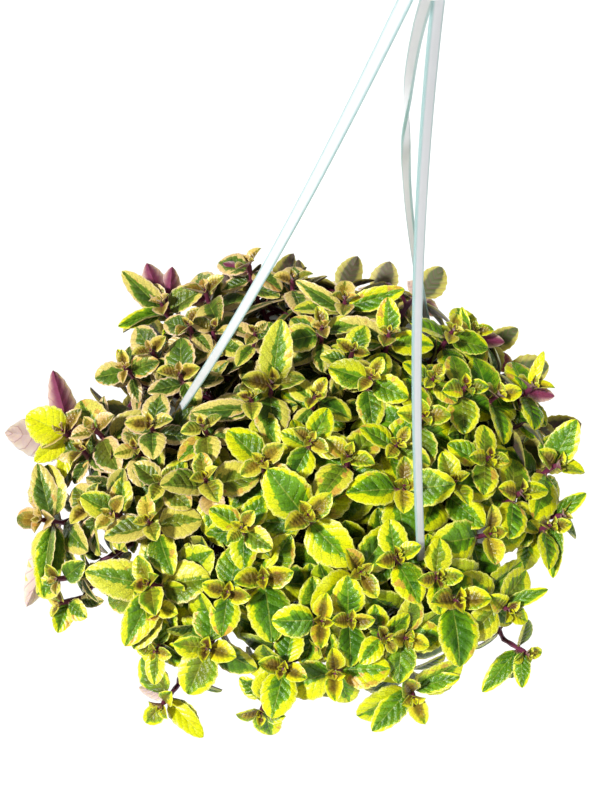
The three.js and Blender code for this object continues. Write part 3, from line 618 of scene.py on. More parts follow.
def blade_points(leaves, u, v, tooth=1.0):
    """Points of leaf blades at each share u along and v across, on a (leaf, u, v) grid.

    A point is base + along * u * length + across * v * half(u) + face * rise. With t running from 0 at the
    petiole's end to 1 at the tip, half(u) = fullness * width * length * sin(pi * t^foot_shift)^bluntness,
    and never less than the petiole. rise = length * (fold * |v| * half / length - curl * u^2 + wave(u) * |v|)
    + puff * half * (1 - (2|v| - 1)^2), so each half blade is folded up, curls down to its tip, waves at its
    edge and bulges between.
    """
    def each(name):
        values = np.array([getattr(place, name) for place in leaves], float)
        return values.reshape(len(leaves), 1, 1, *values.shape[1:])

    size = np.abs(v)
    knots = np.linspace(0, 1, form.wave_points)
    right, left = (
        np.array([np.interp(u, knots, place.waves[side]) for place in leaves])[:, :, None] for side in (0, 1)
    )
    wave = np.where(v > 0, right, left) * size
    u = u[:, None]
    length, face, along = each("length"), each("face"), each("along")
    t = np.clip((u - leaf.petiole) / (1 - leaf.petiole), 0, 1)
    outline = blade.fullness * np.sin(np.pi * t**blade.foot_shift) ** blade.bluntness
    least = blade.petiole_half - blade.petiole_taper * u
    least = least * np.clip(length / blade.typical, blade.least_petiole, 1)
    half = np.maximum(each("width") * length * outline, least)
    rise = each("fold") * size * (half / length) - each("curl") * u**2 + wave
    rise = rise * length + each("puff") * half * (1 - (2 * size - 1) ** 2)
    sides = (v * half * tooth)[..., None]
    middle = each("base") + along * (u * length)[..., None]
    return middle + np.cross(face, along) * sides + face * rise[..., None]


def leaf_skin(leaves, rows, columns):
    """Closed leaves. Each ring runs over the upper side from v = 1 to -1 and back under the midrib."""
    even = np.linspace(0, 1, rows - 2)
    first = leaf.petiole * blade_rows.first
    along = first + (1 - first) * (1 - (1 - even) ** blade_rows.closing)
    u = np.concatenate([[blade_rows.foot, leaf.petiole * blade_rows.petiole], along])
    ring = np.append(np.linspace(1, -1, columns), 0)
    under = np.append(np.zeros(columns), 1)
    edge = np.abs(ring) == 1
    teeth = np.where(np.arange(rows) % 2, blade.tooth_out, blade.tooth_in)
    teeth[:3] = teeth[-2:] = 1
    points = blade_points(leaves, u, ring, 1 + (teeth[None, :, None] - 1) * edge)
    fades_from, fades_to = blade_rows.petiole_fades
    petiole = (1 - smoothstep(u, fades_from, leaf.petiole * fades_to))[:, None]
    lift = (1 - edge) * (1 - under) * (blade.upper + blade.upper_petiole * petiole)
    lift = lift - under * (blade.under + blade.under_petiole * petiole)
    lengths = np.array([place.length for place in leaves])
    scale = np.clip(lengths / blade.typical, blade.least_thickness, 1)[:, None, None]
    faces = np.array([place.face for place in leaves])
    points = points + faces[:, None, None] * (scale * lift)[..., None]
    place_marks = np.empty(points.shape)
    place_marks[..., 0] = np.clip(u, 0, 1)[None, :, None]
    place_marks[..., 1] = ring
    place_marks[..., 2] = np.array([place.veins for place in leaves])[:, None, None]
    kind = np.array([[place.seed, place.age, place.pale] for place in leaves])
    marks = {"blade": place_marks, "leaf": np.broadcast_to(kind[:, None, None], points.shape)}
    slots = np.append(np.full(columns - 1, UPPER), [UNDER, UNDER])
    return loft(points, slots, UNDER, marks)


# Growing what the solids leave out

class Crowd:
    """Counts how much foliage lies in each small cube of space, so that a new leaf can find room."""

    def __init__(self, low, high, cube=3.0):
        self.low = low
        self.cube = cube
        self.counts = np.zeros(np.ceil((high - low) / cube).astype(int) + 1, np.int32)

    def cells(self, points):
        cells = ((points.reshape(-1, 3) - self.low) / self.cube).astype(int)
        return tuple(np.clip(cells, 0, np.array(self.counts.shape) - 1).T)

    def add(self, points):
        np.add.at(self.counts, self.cells(points), 1)

    def load(self, points):
        return float(self.counts[self.cells(points)].sum())


def posed_leaf(limb, number, below, x, y, width, look):
    """A leaf from a stem to the sight line of its tip's pixel, with its upper side or its back to the eye."""
    at = at_distance(limb, below)
    sight = sight_line(x, y)
    gap = eye + sight * ((at.point - eye) @ sight) - at.point
    rise = math.radians(posed_back_rise if look.back else posed_rise)
    along = unit(gap) * math.cos(rise) - sight * math.sin(rise)
    face = unit(-sight - along * (-sight @ along))
    place = Sizes(
        base=at.point, along=along, face=-face if look.back else face,
        length=np.linalg.norm(gap) / math.cos(rise), width=width, key=posed_keys + number,
    )
    place = finish_place(place, limb.shoot, look.age, grown_knots)
    place.seed, place.age, place.pale = look.seed, look.age, look.pale
    return place


def in_pot(points):
    """Which points are inside the basket, or in the skirt round its rim."""
    radius = np.hypot(points[..., 0], points[..., 1])
    z = points[..., 2]
    return (radius < basket.flange_radius + 1) & (z < 1) & (z > -basket.height)


def paleness(tip):
    """How pale and muted the foliage is: 1 at the far left, 0 at the near right."""
    across = tip[1] * pale_side.backwards - tip[0] * pale_side.rightwards
    return float(smoothstep(across, pale_side.low, pale_side.high))


def finish_place(place, shoot, age, knots):
    """Gives a placed leaf the shape and colour of its age, from 0 in the bud to 1, and its own chance."""
    key = place.key
    waved = [[spread(key, use + i, leaf.wave) for i in range(len(knots))] for use in (10, 20)]
    even = np.linspace(0, 1, form.wave_points)
    place.waves = np.array([np.interp(even, [0, *knots, 1], [0, *side, 0]) for side in waved])
    place.pale = float(np.clip(paleness(shoot.tip) + spread(key, 35, vary.pale), 0, 1))
    bud = max(0, 1 - form.bud_ends * age)
    place.fold = leaf.fold + form.bud_fold * bud + (form.fold + form.pale_fold * place.pale) * draw(key, 36)
    place.curl = leaf.curl + spread(key, 37, vary.curl)
    place.puff = form.puff + spread(key, 31, vary.puff) - form.bud_puff * bud
    place.veins = leaf.vein_pairs + spread(key, 32, vary.veins)
    place.seed = vary.most_seed * draw(key, 33)
    place.age = float(np.clip(age + spread(key, 34, vary.age), 0, 1))
    return place


def young_leaves(limb):
    """The two unfolding pairs at a shoot's tip, folded up round the bud."""
    shoot = limb.shoot
    leaves = []
    for pair in young_pairs:
        point = shoot.tip - shoot.grows * pair.below * shoot.size
        at = Sizes(point=point, along=shoot.grows, wide=shoot.side, half=bud_half)
        for facing in (1, -1):
            place = leaf_place(at, pair, pair.rank, facing, leaf_bends[0], shoot)
            leaves.append(finish_place(place, shoot, 0.0, young_knots))
    return leaves


def older_leaf(at, pair, facing, bend, shoot, age):
    """An older leaf, its face turned to the sum of its own way, the light's and the mound's."""
    place = leaf_place(at, pair, pair.rank, facing, bend, shoot)
    lit = older.own_face * place.face + older.light * unit(light_from)
    lit = lit + older.outward * mound_normal(at.point)
    place.face = unit(lit - place.along * (lit @ place.along))
    place = finish_place(place, shoot, age, grown_knots)
    place.width *= 1 - older.pale_narrower * place.pale
    return place


def cost_of_place(points, crowd, low, high, leaves_before):
    """How little room a leaf's points have, by the costs that older gives."""
    cost = crowd.load(points) + older.in_pot * np.sum(in_pot(points))
    cost += older.near_surface * np.sum(mound_level(points) > older.surface)
    cost += older.outside * np.sum((points < low) | (points > high)) + older.leaf_before * leaves_before
    return cost


def older_leaves(limb, crowd, low, high):
    """Pairs further down a stem. Each leaf takes the bend with most room, and none is made without room."""
    shoot = limb.shoot
    bare = older.bare_root if limb.rooted else older.bare_fork
    leaves = []
    for number, pair in enumerate(older_pairs):
        below = pair.below * shoot.size
        if below > limb.from_tip[0] - bare:
            break
        at = at_distance(limb, below)
        age = older.first_age + older.age_step * number
        for facing in (1, -1):
            tries = []
            for bend in older_bends:
                place = older_leaf(at, pair, facing, bend, shoot, age)
                points = blade_points([place], room_u, room_v)
                tries.append((cost_of_place(points, crowd, low, high, len(leaves)), place, points))
            cost, place, points = min(tries, key=lambda tried: tried[0])
            if cost < older.most:
                crowd.add(points)
                leaves.append(place)
    return leaves


# Meshes

UPPER, UNDER, STEM = 0, 1, 2


def loft(rings, slots, cap_slot, marks=None):
    """Closed skins over a (count, rows, ring, 3) grid of points.

    Each ring runs anticlockwise round the way the rows go. Neighbouring points of neighbouring rows make one
    face, and the first and last ring of each skin are closed by one face each.
    """
    count, rows, ring, _ = rings.shape
    index = np.arange(count * rows * ring).reshape(count, rows, ring)
    after = np.roll(index, -1, axis=2)
    quads = np.stack([index[:, :-1], after[:, :-1], after[:, 1:], index[:, 1:]], -1).reshape(-1, 4)
    caps = np.concatenate([index[:, 0, ::-1], index[:, -1]])
    quad_slots = np.broadcast_to(slots, (count, rows - 1, ring)).ravel()
    return Sizes(
        points=rings.reshape(-1, 3),
        faces=quads.tolist() + caps.tolist(),
        slots=np.append(quad_slots, np.full(len(caps), cap_slot)),
        marks={name: values.reshape(-1, 3) for name, values in (marks or {}).items()},
    )


def make_mesh(name, skins, materials, sharp_over=50):
    """One object from several skins, in metres from the hook's bearing point."""
    points = np.concatenate([skin.points for skin in skins])
    points = (points - UP * bearing_height) / 1000
    faces = []
    start = 0
    for skin in skins:
        faces += [[start + corner for corner in face] for face in skin.faces]
        start += len(skin.points)
    mesh = bpy.data.meshes.new(name)
    mesh.from_pydata(points.tolist(), [], faces)
    for material in materials:
        mesh.materials.append(material)
    slots = np.concatenate([skin.slots for skin in skins]).astype(np.int32)
    mesh.polygons.foreach_set("material_index", slots)
    for mark in skins[0].marks:
        values = np.concatenate([skin.marks[mark] for skin in skins]).astype(np.float32)
        mesh.attributes.new(mark, "FLOAT_VECTOR", "POINT").data.foreach_set("vector", values.ravel())
    mesh.polygons.foreach_set("use_smooth", np.ones(len(mesh.polygons), bool))
    mesh.set_sharp_from_angle(angle=math.radians(sharp_over))
    mesh.update()
    piece = bpy.data.objects.new(name, mesh)
    bpy.context.scene.collection.objects.link(piece)
    return piece


def stand_for(piece, node):
    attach(piece, "root")
    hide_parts(node)


# The basket, the mix and the hanger

def rounded(profile, radius, steps=4):
    """A profile with each corner rounded: between points a radius before and after it runs the curve
    (1-t)^2 a + 2(1-t)t corner + t^2 b. A short side limits the radius to 0.45 of its length."""
    profile = np.asarray(profile, float)
    corner, before, after = profile[1:-1], profile[:-2], profile[2:]
    lengths = np.linalg.norm(np.diff(profile, axis=0), axis=1)
    reach = np.minimum(radius, 0.45 * np.minimum(lengths[:-1], lengths[1:]))[:, None]
    a = corner + unit(before - corner) * reach
    b = corner + unit(after - corner) * reach
    t = np.linspace(0, 1, steps)[None, :, None]
    arcs = (1 - t) ** 2 * a[:, None] + 2 * (1 - t) * t * corner[:, None] + t**2 * b[:, None]
    return np.vstack([profile[:1], arcs.reshape(-1, 2), profile[-1:]])


def lathe(profile, sides, slot=0):
    """A turned skin: the profile's (radius, height) at each of the sides' bearings."""
    profile = np.asarray(profile, float)
    angles = np.linspace(0, 2 * np.pi, sides, endpoint=False)
    circle = np.stack([np.cos(angles), np.sin(angles)], -1)
    rings = np.empty((1, len(profile), sides, 3))
    rings[0, ..., :2] = profile[:, None, :1] * circle
    rings[0, ..., 2] = profile[:, None, 1]
    return loft(rings, np.full(sides, slot), slot)


def cut(piece, cutters):
    """Cuts holes by Boolean and keeps the result as the piece's own mesh."""
    for cutter in cutters:
        hole = piece.modifiers.new("hole", "BOOLEAN")
        hole.operation = "DIFFERENCE"
        hole.solver = "EXACT"
        hole.object = cutter
    bpy.context.view_layer.update()
    shown = piece.evaluated_get(bpy.context.evaluated_depsgraph_get())
    finished = bpy.data.meshes.new_from_object(shown)
    piece.modifiers.clear()
    piece.data = finished
    for cutter in cutters:
        bpy.data.objects.remove(cutter)


def wall_radius(z):
    """The basket's inner wall at a height, less the gap that the mix keeps."""
    b = basket
    slope = (b.shoulder_radius - b.base_radius) / (b.height - b.floor)
    return b.base_radius - b.wall + slope * (z + b.height - b.floor) - mix.gap


def drain_cutters(plastic):
    b = basket
    cutters = []
    for i in range(b.drains):
        ends = [(b.drain_hole, -b.height - drain_cut.below), (b.drain_hole, -b.height + drain_cut.above)]
        skin = lathe(ends, drain_cut.sides)
        skin.points = skin.points + around(360 / b.drains * i, b.drain_ring, 0)
        cutters.append(make_mesh(f"drain_{i}", [skin], [plastic]))
    return cutters


def slot_cutters(plastic):
    """A square hole through the flange for each strap, with play all round it."""
    half = np.array([hanger.strap_thickness + slot_cut.play, hanger.strap_width + slot_cut.play]) / 2
    section = np.array([[1, 1], [-1, 1], [-1, -1], [1, -1]]) * half
    heights = (slot_cut.low, slot_cut.high)
    cutters = []
    for i, strap in enumerate(straps):
        line = np.array([around(strap.bearing, hanger.strap_radius, z) for z in heights])
        outward = np.tile(around(strap.bearing, 1, 0), (2, 1))
        across = np.tile(around(strap.bearing + 90, 1, 0), (2, 1))
        skin = loft(tube(line, outward, across, section)[None], np.zeros(4), 0)
        cutters.append(make_mesh(f"slot_{i}", [skin], [plastic]))
    return cutters


def make_basket(plastic):
    """The basket: one turned wall with its rim flange and skirt, cut for the drains and the straps."""
    b = basket
    skirt_inside = b.flange_radius - b.skirt_wall
    profile = [
        (b.base_radius - b.base_inset, -b.height),
        (b.base_radius, -b.height),
        (b.base_radius + b.bevel_width, -b.height + b.bevel_height),
        (b.shoulder_radius, -b.flange),
        (skirt_inside, -b.flange),
        (skirt_inside, -b.skirt),
        (b.flange_radius, -b.skirt),
        (b.flange_radius, 0),
        (b.shoulder_radius - b.wall, 0),
        (b.base_radius - b.wall, -b.height + b.floor),
        (b.base_radius - b.floor_inset, -b.height + b.floor),
    ]
    piece = make_mesh("moulded_basket", [lathe(rounded(profile, b.edge), b.sides)], [plastic], 35)
    cut(piece, drain_cutters(plastic) + slot_cutters(plastic))
    stand_for(piece, "basket")


def rough(points, seed, waves=28, shortest=4, longest=22):
    """Uneven heights, mostly from -1 to 1: 3 times the mean of plane waves cos(k . p + phase) of many lengths
    and bearings."""
    chance = np.random.default_rng(seed)
    lengths = chance.uniform(shortest, longest, waves)
    bearings = chance.uniform(0, 2 * np.pi, waves)
    phases = chance.uniform(0, 2 * np.pi, waves)
    k = 2 * np.pi / lengths * np.stack([np.cos(bearings), np.sin(bearings)])
    return np.cos(points @ k + phases).mean(axis=-1) * 3


def mix_height(radius):
    """The mix's top without its crumbs: from the crown to its edge and down to the wall."""
    wall = wall_radius(mix.wall_edge)
    return np.interp(radius, [0, mix.crown_radius, wall], [mix.top, mix.crown_edge, mix.wall_edge])


def crumb_skin(wall):
    """Crumbs lying on the mix: stacked rings whose widths and heights are scaled by size and by chance."""
    chance = np.random.default_rng(crumbs.seed)
    count = crumbs.count
    distance = np.sqrt(chance.uniform(0, 1, count)) * (wall - crumbs.from_wall)
    bearing = chance.uniform(0, 2 * np.pi, count)
    middle = np.stack([np.cos(bearing) * distance, np.sin(bearing) * distance, mix_height(distance)], -1)
    size = chance.uniform(crumbs.smallest, crumbs.largest, (count, 1, 1))
    angles = np.linspace(0, 2 * np.pi, crumbs.sides, endpoint=False)
    ring = np.stack([np.cos(angles), np.sin(angles), angles * 0], -1)
    widths = np.array(crumbs.widths)[:, None, None]
    heights = np.array(crumbs.heights)[:, None, None] * UP
    uneven = chance.uniform(1 - crumbs.uneven, 1 + crumbs.uneven, (count, len(widths), crumbs.sides, 1))
    lumps = (ring * widths + heights)[None] * size[..., None] * uneven
    return loft(lumps + middle[:, None, None], np.full(crumbs.sides, 1), 1)


def make_mix(peat):
    """The mix: a turned skin whose top rises and falls by rough() * relief, with crumbs lying on it."""
    floor = -basket.height + basket.floor + mix.gap
    wall = wall_radius(mix.wall_edge)
    radii = np.linspace(wall, mix_skin.inner_radius, mix_skin.rings)
    profile = [(wall_radius(floor), floor), (wall, mix.wall_edge)] + [(r, mix_height(r)) for r in radii[1:]]
    skin = lathe(profile, mix_skin.sides)
    radius = np.hypot(skin.points[:, 0], skin.points[:, 1])
    top = (skin.points[:, 2] > mix.wall_edge - 0.01) & (radius < wall - 1)
    skin.points[top, 2] += rough(skin.points[top, :2], mix_skin.seed) * mix_skin.relief
    piece = make_mesh("potting_mix_surface", [skin, crumb_skin(wall)], [peat, crumb_material()], 40)
    stand_for(piece, "potting_mix")


# A strap's section with rounded corners, and how much painted shade each point takes, most at its thin edges
strap_section = np.array(
    [
        [1, 0.55], [0.9, 1], [0.55, 1], [-0.55, 1], [-0.9, 1], [-1, 0.55],
        [-1, -0.55], [-0.9, -1], [-0.55, -1], [0.55, -1], [0.9, -1], [1, -0.55],
    ]
)
strap_edge_shades = smoothstep(np.abs(strap_section[:, 0]), 0.4, 0.95)


def plastic_skin(rings, edges):
    # The edge mark is how much painted shade the material puts on each point of a strap
    marks = np.zeros((1,) + rings.shape)
    marks[..., 0] = edges
    return loft(rings[None], np.zeros(rings.shape[1]), 0, {"edge": marks})


under_rim = -basket.flange - mix.gap


def strap_bar(strap):
    """A strap's flat bar. Its line is top + (foot - top) * t + both ways of its bow * 4t(1 - t), and then it
    runs straight down through the rim."""
    h = hanger
    outward = around(strap.bearing, 1, 0)
    across = around(strap.bearing + 90, 1, 0)
    t = np.linspace(0, 1, h.steps + 1)[:, None]
    top = around(strap.bearing, h.strap_start, h.hub_height)
    foot = around(strap.bearing, h.strap_radius, h.strap_foot)
    bow = 4 * t * (1 - t)
    line = top + (foot - top) * t + (across * strap.sideways - outward * strap.inward) * bow
    end = around(strap.bearing, h.strap_radius, under_rim - h.strap_thickness)
    line = np.vstack([line, (foot + end) / 2, end])
    alongs = unit(np.gradient(line, axis=0))
    alongs[-2:] = -UP
    first, second = strap.turns
    turn = first + (second - first) * smoothstep(np.append(t.ravel(), [1, 1]), *strap.turning)
    flat = unit(across - alongs * (alongs @ across)[:, None])
    wides = turned_about(flat, alongs, turn)
    half = np.array([h.strap_width, h.strap_thickness]) / 2
    return plastic_skin(tube(line, wides, np.cross(alongs, wides), strap_section * half), strap_edge_shades)


def strap_barb(strap):
    """The barb that locks a strap under the rim, narrowing downwards as its profile says."""
    h = hanger
    heights = np.array(barb_profile.lengths) * h.barb_length
    widths = np.array(barb_profile.widths) * h.barb_width / 2
    line = np.array([around(strap.bearing, h.strap_radius, under_rim - down) for down in heights])
    halves = np.stack([widths, np.full(len(widths), h.strap_thickness / 2)], -1)[:, None]
    down = np.tile(-UP, (len(widths), 1))
    wide = np.tile(around(strap.bearing + 90, 1, 0), (len(widths), 1))
    return plastic_skin(tube(line, wide, np.cross(down, wide), strap_section * halves), strap_edge_shades)


def hook_skin():
    """The hook's round bar: a neck from the hub that leans aside into three quarters of a ring."""
    h = hanger
    angles = np.radians(np.arange(h.hook_from, h.hook_to + 0.1, h.hook_step))
    ring = np.stack([np.cos(angles), np.sin(angles)], -1) * h.hook_radius
    flat = np.vstack([[(0, -h.hook_centre)], h.hook_neck, ring])
    line = np.stack([flat[:, 0], flat[:, 0] * 0, flat[:, 1] + h.hub_height + h.hook_centre], -1)
    alongs = unit(np.gradient(line, axis=0))
    aside = np.tile([0.0, 1.0, 0.0], (len(line), 1))
    turns = np.linspace(0, 2 * np.pi, h.hook_sides, endpoint=False)
    section = np.stack([np.cos(turns), np.sin(turns)], -1) * h.hook_bar
    return plastic_skin(tube(line, aside, np.cross(alongs, aside), section), np.zeros(h.hook_sides))


def make_hanger(plastic):
    """The hub, turned from its profile, with the hook on it and the straps under it, in one piece."""
    h = hanger
    low = h.hub_height - h.hub_half_height
    high = h.hub_height + h.hub_half_height
    bevel = h.hub_radius - h.hub_bevel
    profile = [
        (h.hub_bore, low), (bevel, low), (h.hub_radius, low + h.hub_bevel),
        (h.hub_radius, high - h.hub_bevel), (bevel, high), (h.hub_bore, high),
    ]
    hub = lathe(rounded(profile, h.hub_edge), h.hub_sides)
    hub.marks = {"edge": np.zeros(hub.points.shape)}
    skins = [hub, hook_skin()]
    for strap in straps:
        skins += [strap_bar(strap), strap_barb(strap)]
    stand_for(make_mesh("moulded_hanger", skins, [plastic], 40), "hanger")


# Materials. Each pattern's Scale is how many of its parts go to a metre: 1000 is 1 mm, 330 is 3 mm.

def colour(code):
    """An sRGB hex colour as linear: c / 12.92 up to 0.04045, ((c + 0.055) / 1.055)^2.4 above."""
    parts = np.array([int(code[i : i + 2], 16) for i in (1, 3, 5)]) / 255
    linear = np.where(parts <= 0.04045, parts / 12.92, ((parts + 0.055) / 1.055) ** 2.4)
    return (*linear, 1.0)


def add(tree, kind, inputs=None, settings=None):
    """Adds one node. An input is a value, a hex colour, a socket, or a node, which gives its first output."""
    node = tree.nodes.new("ShaderNode" + kind)
    for name, value in (settings or {}).items():
        setattr(node, name, value)
    for name, value in (inputs or {}).items():
        source = value.outputs[0] if isinstance(value, bpy.types.Node) else value
        if isinstance(source, bpy.types.NodeSocket):
            tree.links.new(source, node.inputs[name])
        else:
            node.inputs[name].default_value = colour(source) if isinstance(source, str) else source
    return node


def new_material(name):
    """An empty material, its node tree, and the coordinates of the piece that wears it."""
    material = bpy.data.materials.new(name)
    material.use_nodes = True
    tree = material.node_tree
    tree.nodes.clear()
    return material, tree, add(tree, "TexCoord").outputs["Object"]


def finish_material(material, inputs):
    tree = material.node_tree
    shader = add(tree, "BsdfPrincipled", inputs)
    add(tree, "OutputMaterial", {"Surface": shader})
    return material


def leaf_marks(tree):
    """A leaf's own coordinates: u along, v across, veins; and its seed, age and paleness."""
    blade = add(tree, "Attribute", settings={"attribute_name": "blade"})
    kind = add(tree, "Attribute", settings={"attribute_name": "leaf"})
    place = add(tree, "SeparateXYZ", {0: blade.outputs["Vector"]}).outputs
    own = add(tree, "SeparateXYZ", {0: kind.outputs["Vector"]}).outputs
    return place, own


def vein_marks(tree, place, wobble):
    """Bands between side veins: q = u * veins - |v| * 1.7 + wobble, whose whole part numbers the band."""
    size = add(tree, "Math", {0: place["Y"]}, {"operation": "ABSOLUTE"})
    back = add(tree, "Math", {0: size, 1: -1.7, 2: wobble}, multiply_add)
    q = add(tree, "Math", {0: place["X"], 1: place["Z"], 2: back}, multiply_add)
    swing = add(tree, "Math", {0: q, 1: 0.5}, {"operation": "PINGPONG"})
    return size, q, swing


# Settings that many nodes share
soft_step = {"interpolation_type": "SMOOTHSTEP"}
multiply = {"operation": "MULTIPLY"}
multiply_add = {"operation": "MULTIPLY_ADD"}


def leaf_upper():
    """Living leaf blade, upper side: glossy and quilted between sunken veins, green in the middle and yellow
    to cream further out, more on one side than the other, with a pale beaded edge. Young ones are bronze."""
    material, tree, object_place = new_material("spurflower_leaf_upper")
    place, own = leaf_marks(tree)
    cloud = add(tree, "TexNoise", {"Vector": object_place, "Scale": 330.0, "Detail": 3.0})
    speckle = add(tree, "TexNoise", {"Vector": object_place, "Scale": 1000.0, "Detail": 2.0})
    wobble = add(tree, "MapRange", {"Value": cloud, "To Min": -0.12, "To Max": 0.12})
    size, q, swing = vein_marks(tree, place, wobble)

    # Each half of a leaf has its own chance, and so has each of its bands: how far out the green reaches
    side = add(tree, "Math", {0: place["Y"], 1: 0.0}, {"operation": "GREATER_THAN"})
    band = add(tree, "Math", {0: q}, {"operation": "FLOOR"})
    leaf_number = add(tree, "Math", {0: own["X"], 1: 311.0}, multiply)
    half_address = add(tree, "CombineXYZ", {0: 0.5, 1: side, 2: leaf_number})
    half_chances = add(tree, "TexWhiteNoise", {"Vector": half_address})
    tip_chance = add(tree, "SeparateXYZ", {0: half_chances.outputs["Color"]}).outputs["Z"]
    address = add(tree, "CombineXYZ", {0: band, 1: side, 2: leaf_number})
    chances = add(tree, "TexWhiteNoise", {"Vector": address})
    second_chance = add(tree, "SeparateXYZ", {0: chances.outputs["Color"]}).outputs["Y"]
    reach = add(tree, "MapRange", {"Value": half_chances, "To Min": 0.08, "To Max": 0.92})
    reach = add(tree, "Math", {0: chances, 1: 0.25, 2: reach}, multiply_add)
    tip_share = add(tree, "MapRange", {"Value": tip_chance, "To Min": 0.1, "To Max": 0.9})
    tip_fade = add(
        tree, "MapRange",
        {"Value": place["X"], "From Min": 0.5, "From Max": 0.95, "To Min": 1.0, "To Max": tip_share},
        soft_step,
    )
    green_reach = add(tree, "Math", {0: reach, 1: tip_fade}, multiply)
    ragged = add(tree, "MapRange", {"Value": cloud, "To Min": -0.2, "To Max": 0.2})
    ragged_size = add(tree, "Math", {0: size, 1: ragged}, {"operation": "ADD"})
    beyond = add(tree, "Math", {0: ragged_size, 1: green_reach}, {"operation": "SUBTRACT"})
    green = add(tree, "MapRange", {"Value": beyond, "From Min": 0.05, "From Max": -0.03}, soft_step)
    plain = add(tree, "Math", {0: own["X"], 1: 0.985}, {"operation": "LESS_THAN"})
    green = add(tree, "Math", {0: green, 1: plain}, multiply)
    deep = add(tree, "MapRange", {"Value": beyond, "From Min": -0.08, "From Max": -0.5}, soft_step)
    deep = add(tree, "Math", {0: deep, 1: second_chance}, multiply)
    deep = add(tree, "Math", {0: deep}, {"operation": "SQRT"})

    # Margin from clear yellow to cream, and greens from fresh to greyer, as the leaf is paler. A few patches
    # of the margin are orange. Older leaves, deeper in the foliage, are greener all over and darker as
    # painted shade.
    cream = add(tree, "Math", {0: own["Z"], 1: 1.6}, {"operation": "POWER"})
    margin = add(tree, "MixRGB", {"Fac": cream, "Color1": "#e9ee05", "Color2": "#e6cb80"})
    blotch = add(tree, "TexNoise", {"Vector": object_place, "Scale": 120.0, "Detail": 2.0})
    patch = add(tree, "Math", {0: tip_chance, 1: 0.5, 2: blotch}, multiply_add)
    patch = add(
        tree, "MapRange", {"Value": patch, "From Min": 0.96, "From Max": 1.04, "To Max": 0.8}, soft_step
    )
    margin = add(tree, "MixRGB", {"Fac": patch, "Color1": margin, "Color2": "#dc9a48"})
    # Painted shade, in part: older leaves take darker margins and greens, as the deeper foliage is shaded
    old = add(
        tree, "MapRange", {"Value": own["Y"], "From Min": 0.5, "From Max": 1.0, "To Max": 0.75}, soft_step
    )
    old_shaded_margin = add(tree, "MixRGB", {"Fac": own["Z"], "Color1": "#88aa12", "Color2": "#88763a"})
    margin = add(tree, "MixRGB", {"Fac": old, "Color1": margin, "Color2": old_shaded_margin})
    fresh = add(tree, "MixRGB", {"Fac": own["Z"], "Color1": "#7bb20d", "Color2": "#668424"})
    dark = add(tree, "MixRGB", {"Fac": own["Z"], "Color1": "#2f6406", "Color2": "#345014"})
    greens = add(tree, "MixRGB", {"Fac": deep, "Color1": fresh, "Color2": dark})
    old_shaded_green = add(tree, "MixRGB", {"Fac": own["Z"], "Color1": "#234808", "Color2": "#2c350f"})
    greens = add(tree, "MixRGB", {"Fac": old, "Color1": greens, "Color2": old_shaded_green})
    base = add(tree, "MixRGB", {"Fac": green, "Color1": margin, "Color2": greens})

    # Side veins, midrib, and a pale edge beaded by the teeth, with painted shade in the notches between them
    vein = add(
        tree, "MapRange", {"Value": swing, "From Min": 0.07, "From Max": 0.0, "To Max": 0.35}, soft_step
    )
    vein_tone = add(tree, "MixRGB", {"Fac": own["Z"], "Color1": "#4e7410", "Color2": "#6b3326"})
    base = add(tree, "MixRGB", {"Fac": vein, "Color1": base, "Color2": vein_tone})
    rib = add(
        tree, "MapRange", {"Value": size, "From Min": 0.05, "From Max": 0.01, "To Max": 0.5}, soft_step
    )
    base = add(tree, "MixRGB", {"Fac": rib, "Color1": base, "Color2": "#b3c04a"})
    beads = add(tree, "Math", {0: place["X"], 1: 0.035}, {"operation": "PINGPONG"})
    rim_size = add(tree, "Math", {0: beads, 1: -2.4, 2: size}, multiply_add)
    rim = add(
        tree, "MapRange",
        {"Value": rim_size, "From Min": 0.82, "From Max": 0.9, "To Max": 0.85}, soft_step,
    )
    rim_tone = add(tree, "MixRGB", {"Fac": own["Z"], "Color1": "#f2f472", "Color2": "#efcdb2"})
    base = add(tree, "MixRGB", {"Fac": rim, "Color1": base, "Color2": rim_tone})
    # Painted shade: dark olive in the notches between the teeth, at the very edge
    notch_shade = add(
        tree, "MapRange", {"Value": beads, "From Min": 0.009, "From Max": 0.0, "To Max": 0.7}, soft_step
    )
    edge = add(tree, "MapRange", {"Value": size, "From Min": 0.9, "From Max": 0.96}, soft_step)
    notch_shade = add(tree, "Math", {0: notch_shade, 1: edge}, multiply)
    base = add(tree, "MixRGB", {"Fac": notch_shade, "Color1": base, "Color2": "#6d7a18"})

    # A bronze flush in the middle of young leaves, darkest at the foot, with gold round it
    inner = add(tree, "MapRange", {"Value": ragged_size, "From Min": 0.95, "From Max": 0.25}, soft_step)
    lower = add(tree, "MapRange", {"Value": place["X"], "From Min": 1.0, "From Max": 0.5}, soft_step)
    young = add(tree, "MapRange", {"Value": own["Y"], "From Min": 0.48, "From Max": 0.12}, soft_step)
    some = add(tree, "MapRange", {"Value": own["X"], "To Min": 0.3, "To Max": 1.0})
    flush = add(tree, "Math", {0: inner, 1: lower}, multiply)
    flush = add(tree, "Math", {0: flush, 1: young}, multiply)
    flush = add(tree, "Math", {0: flush, 1: some}, multiply)
    ember = add(tree, "MapRange", {"Value": flush, "From Min": 0.3, "From Max": 0.85}, soft_step)
    bronze = add(tree, "MixRGB", {"Fac": ember, "Color1": "#e2a82a", "Color2": "#6b3d1c"})
    bronze = add(tree, "MixRGB", {"Fac": vein, "Color1": bronze, "Color2": "#4a2416"})
    base = add(tree, "MixRGB", {"Fac": flush, "Color1": base, "Color2": bronze})

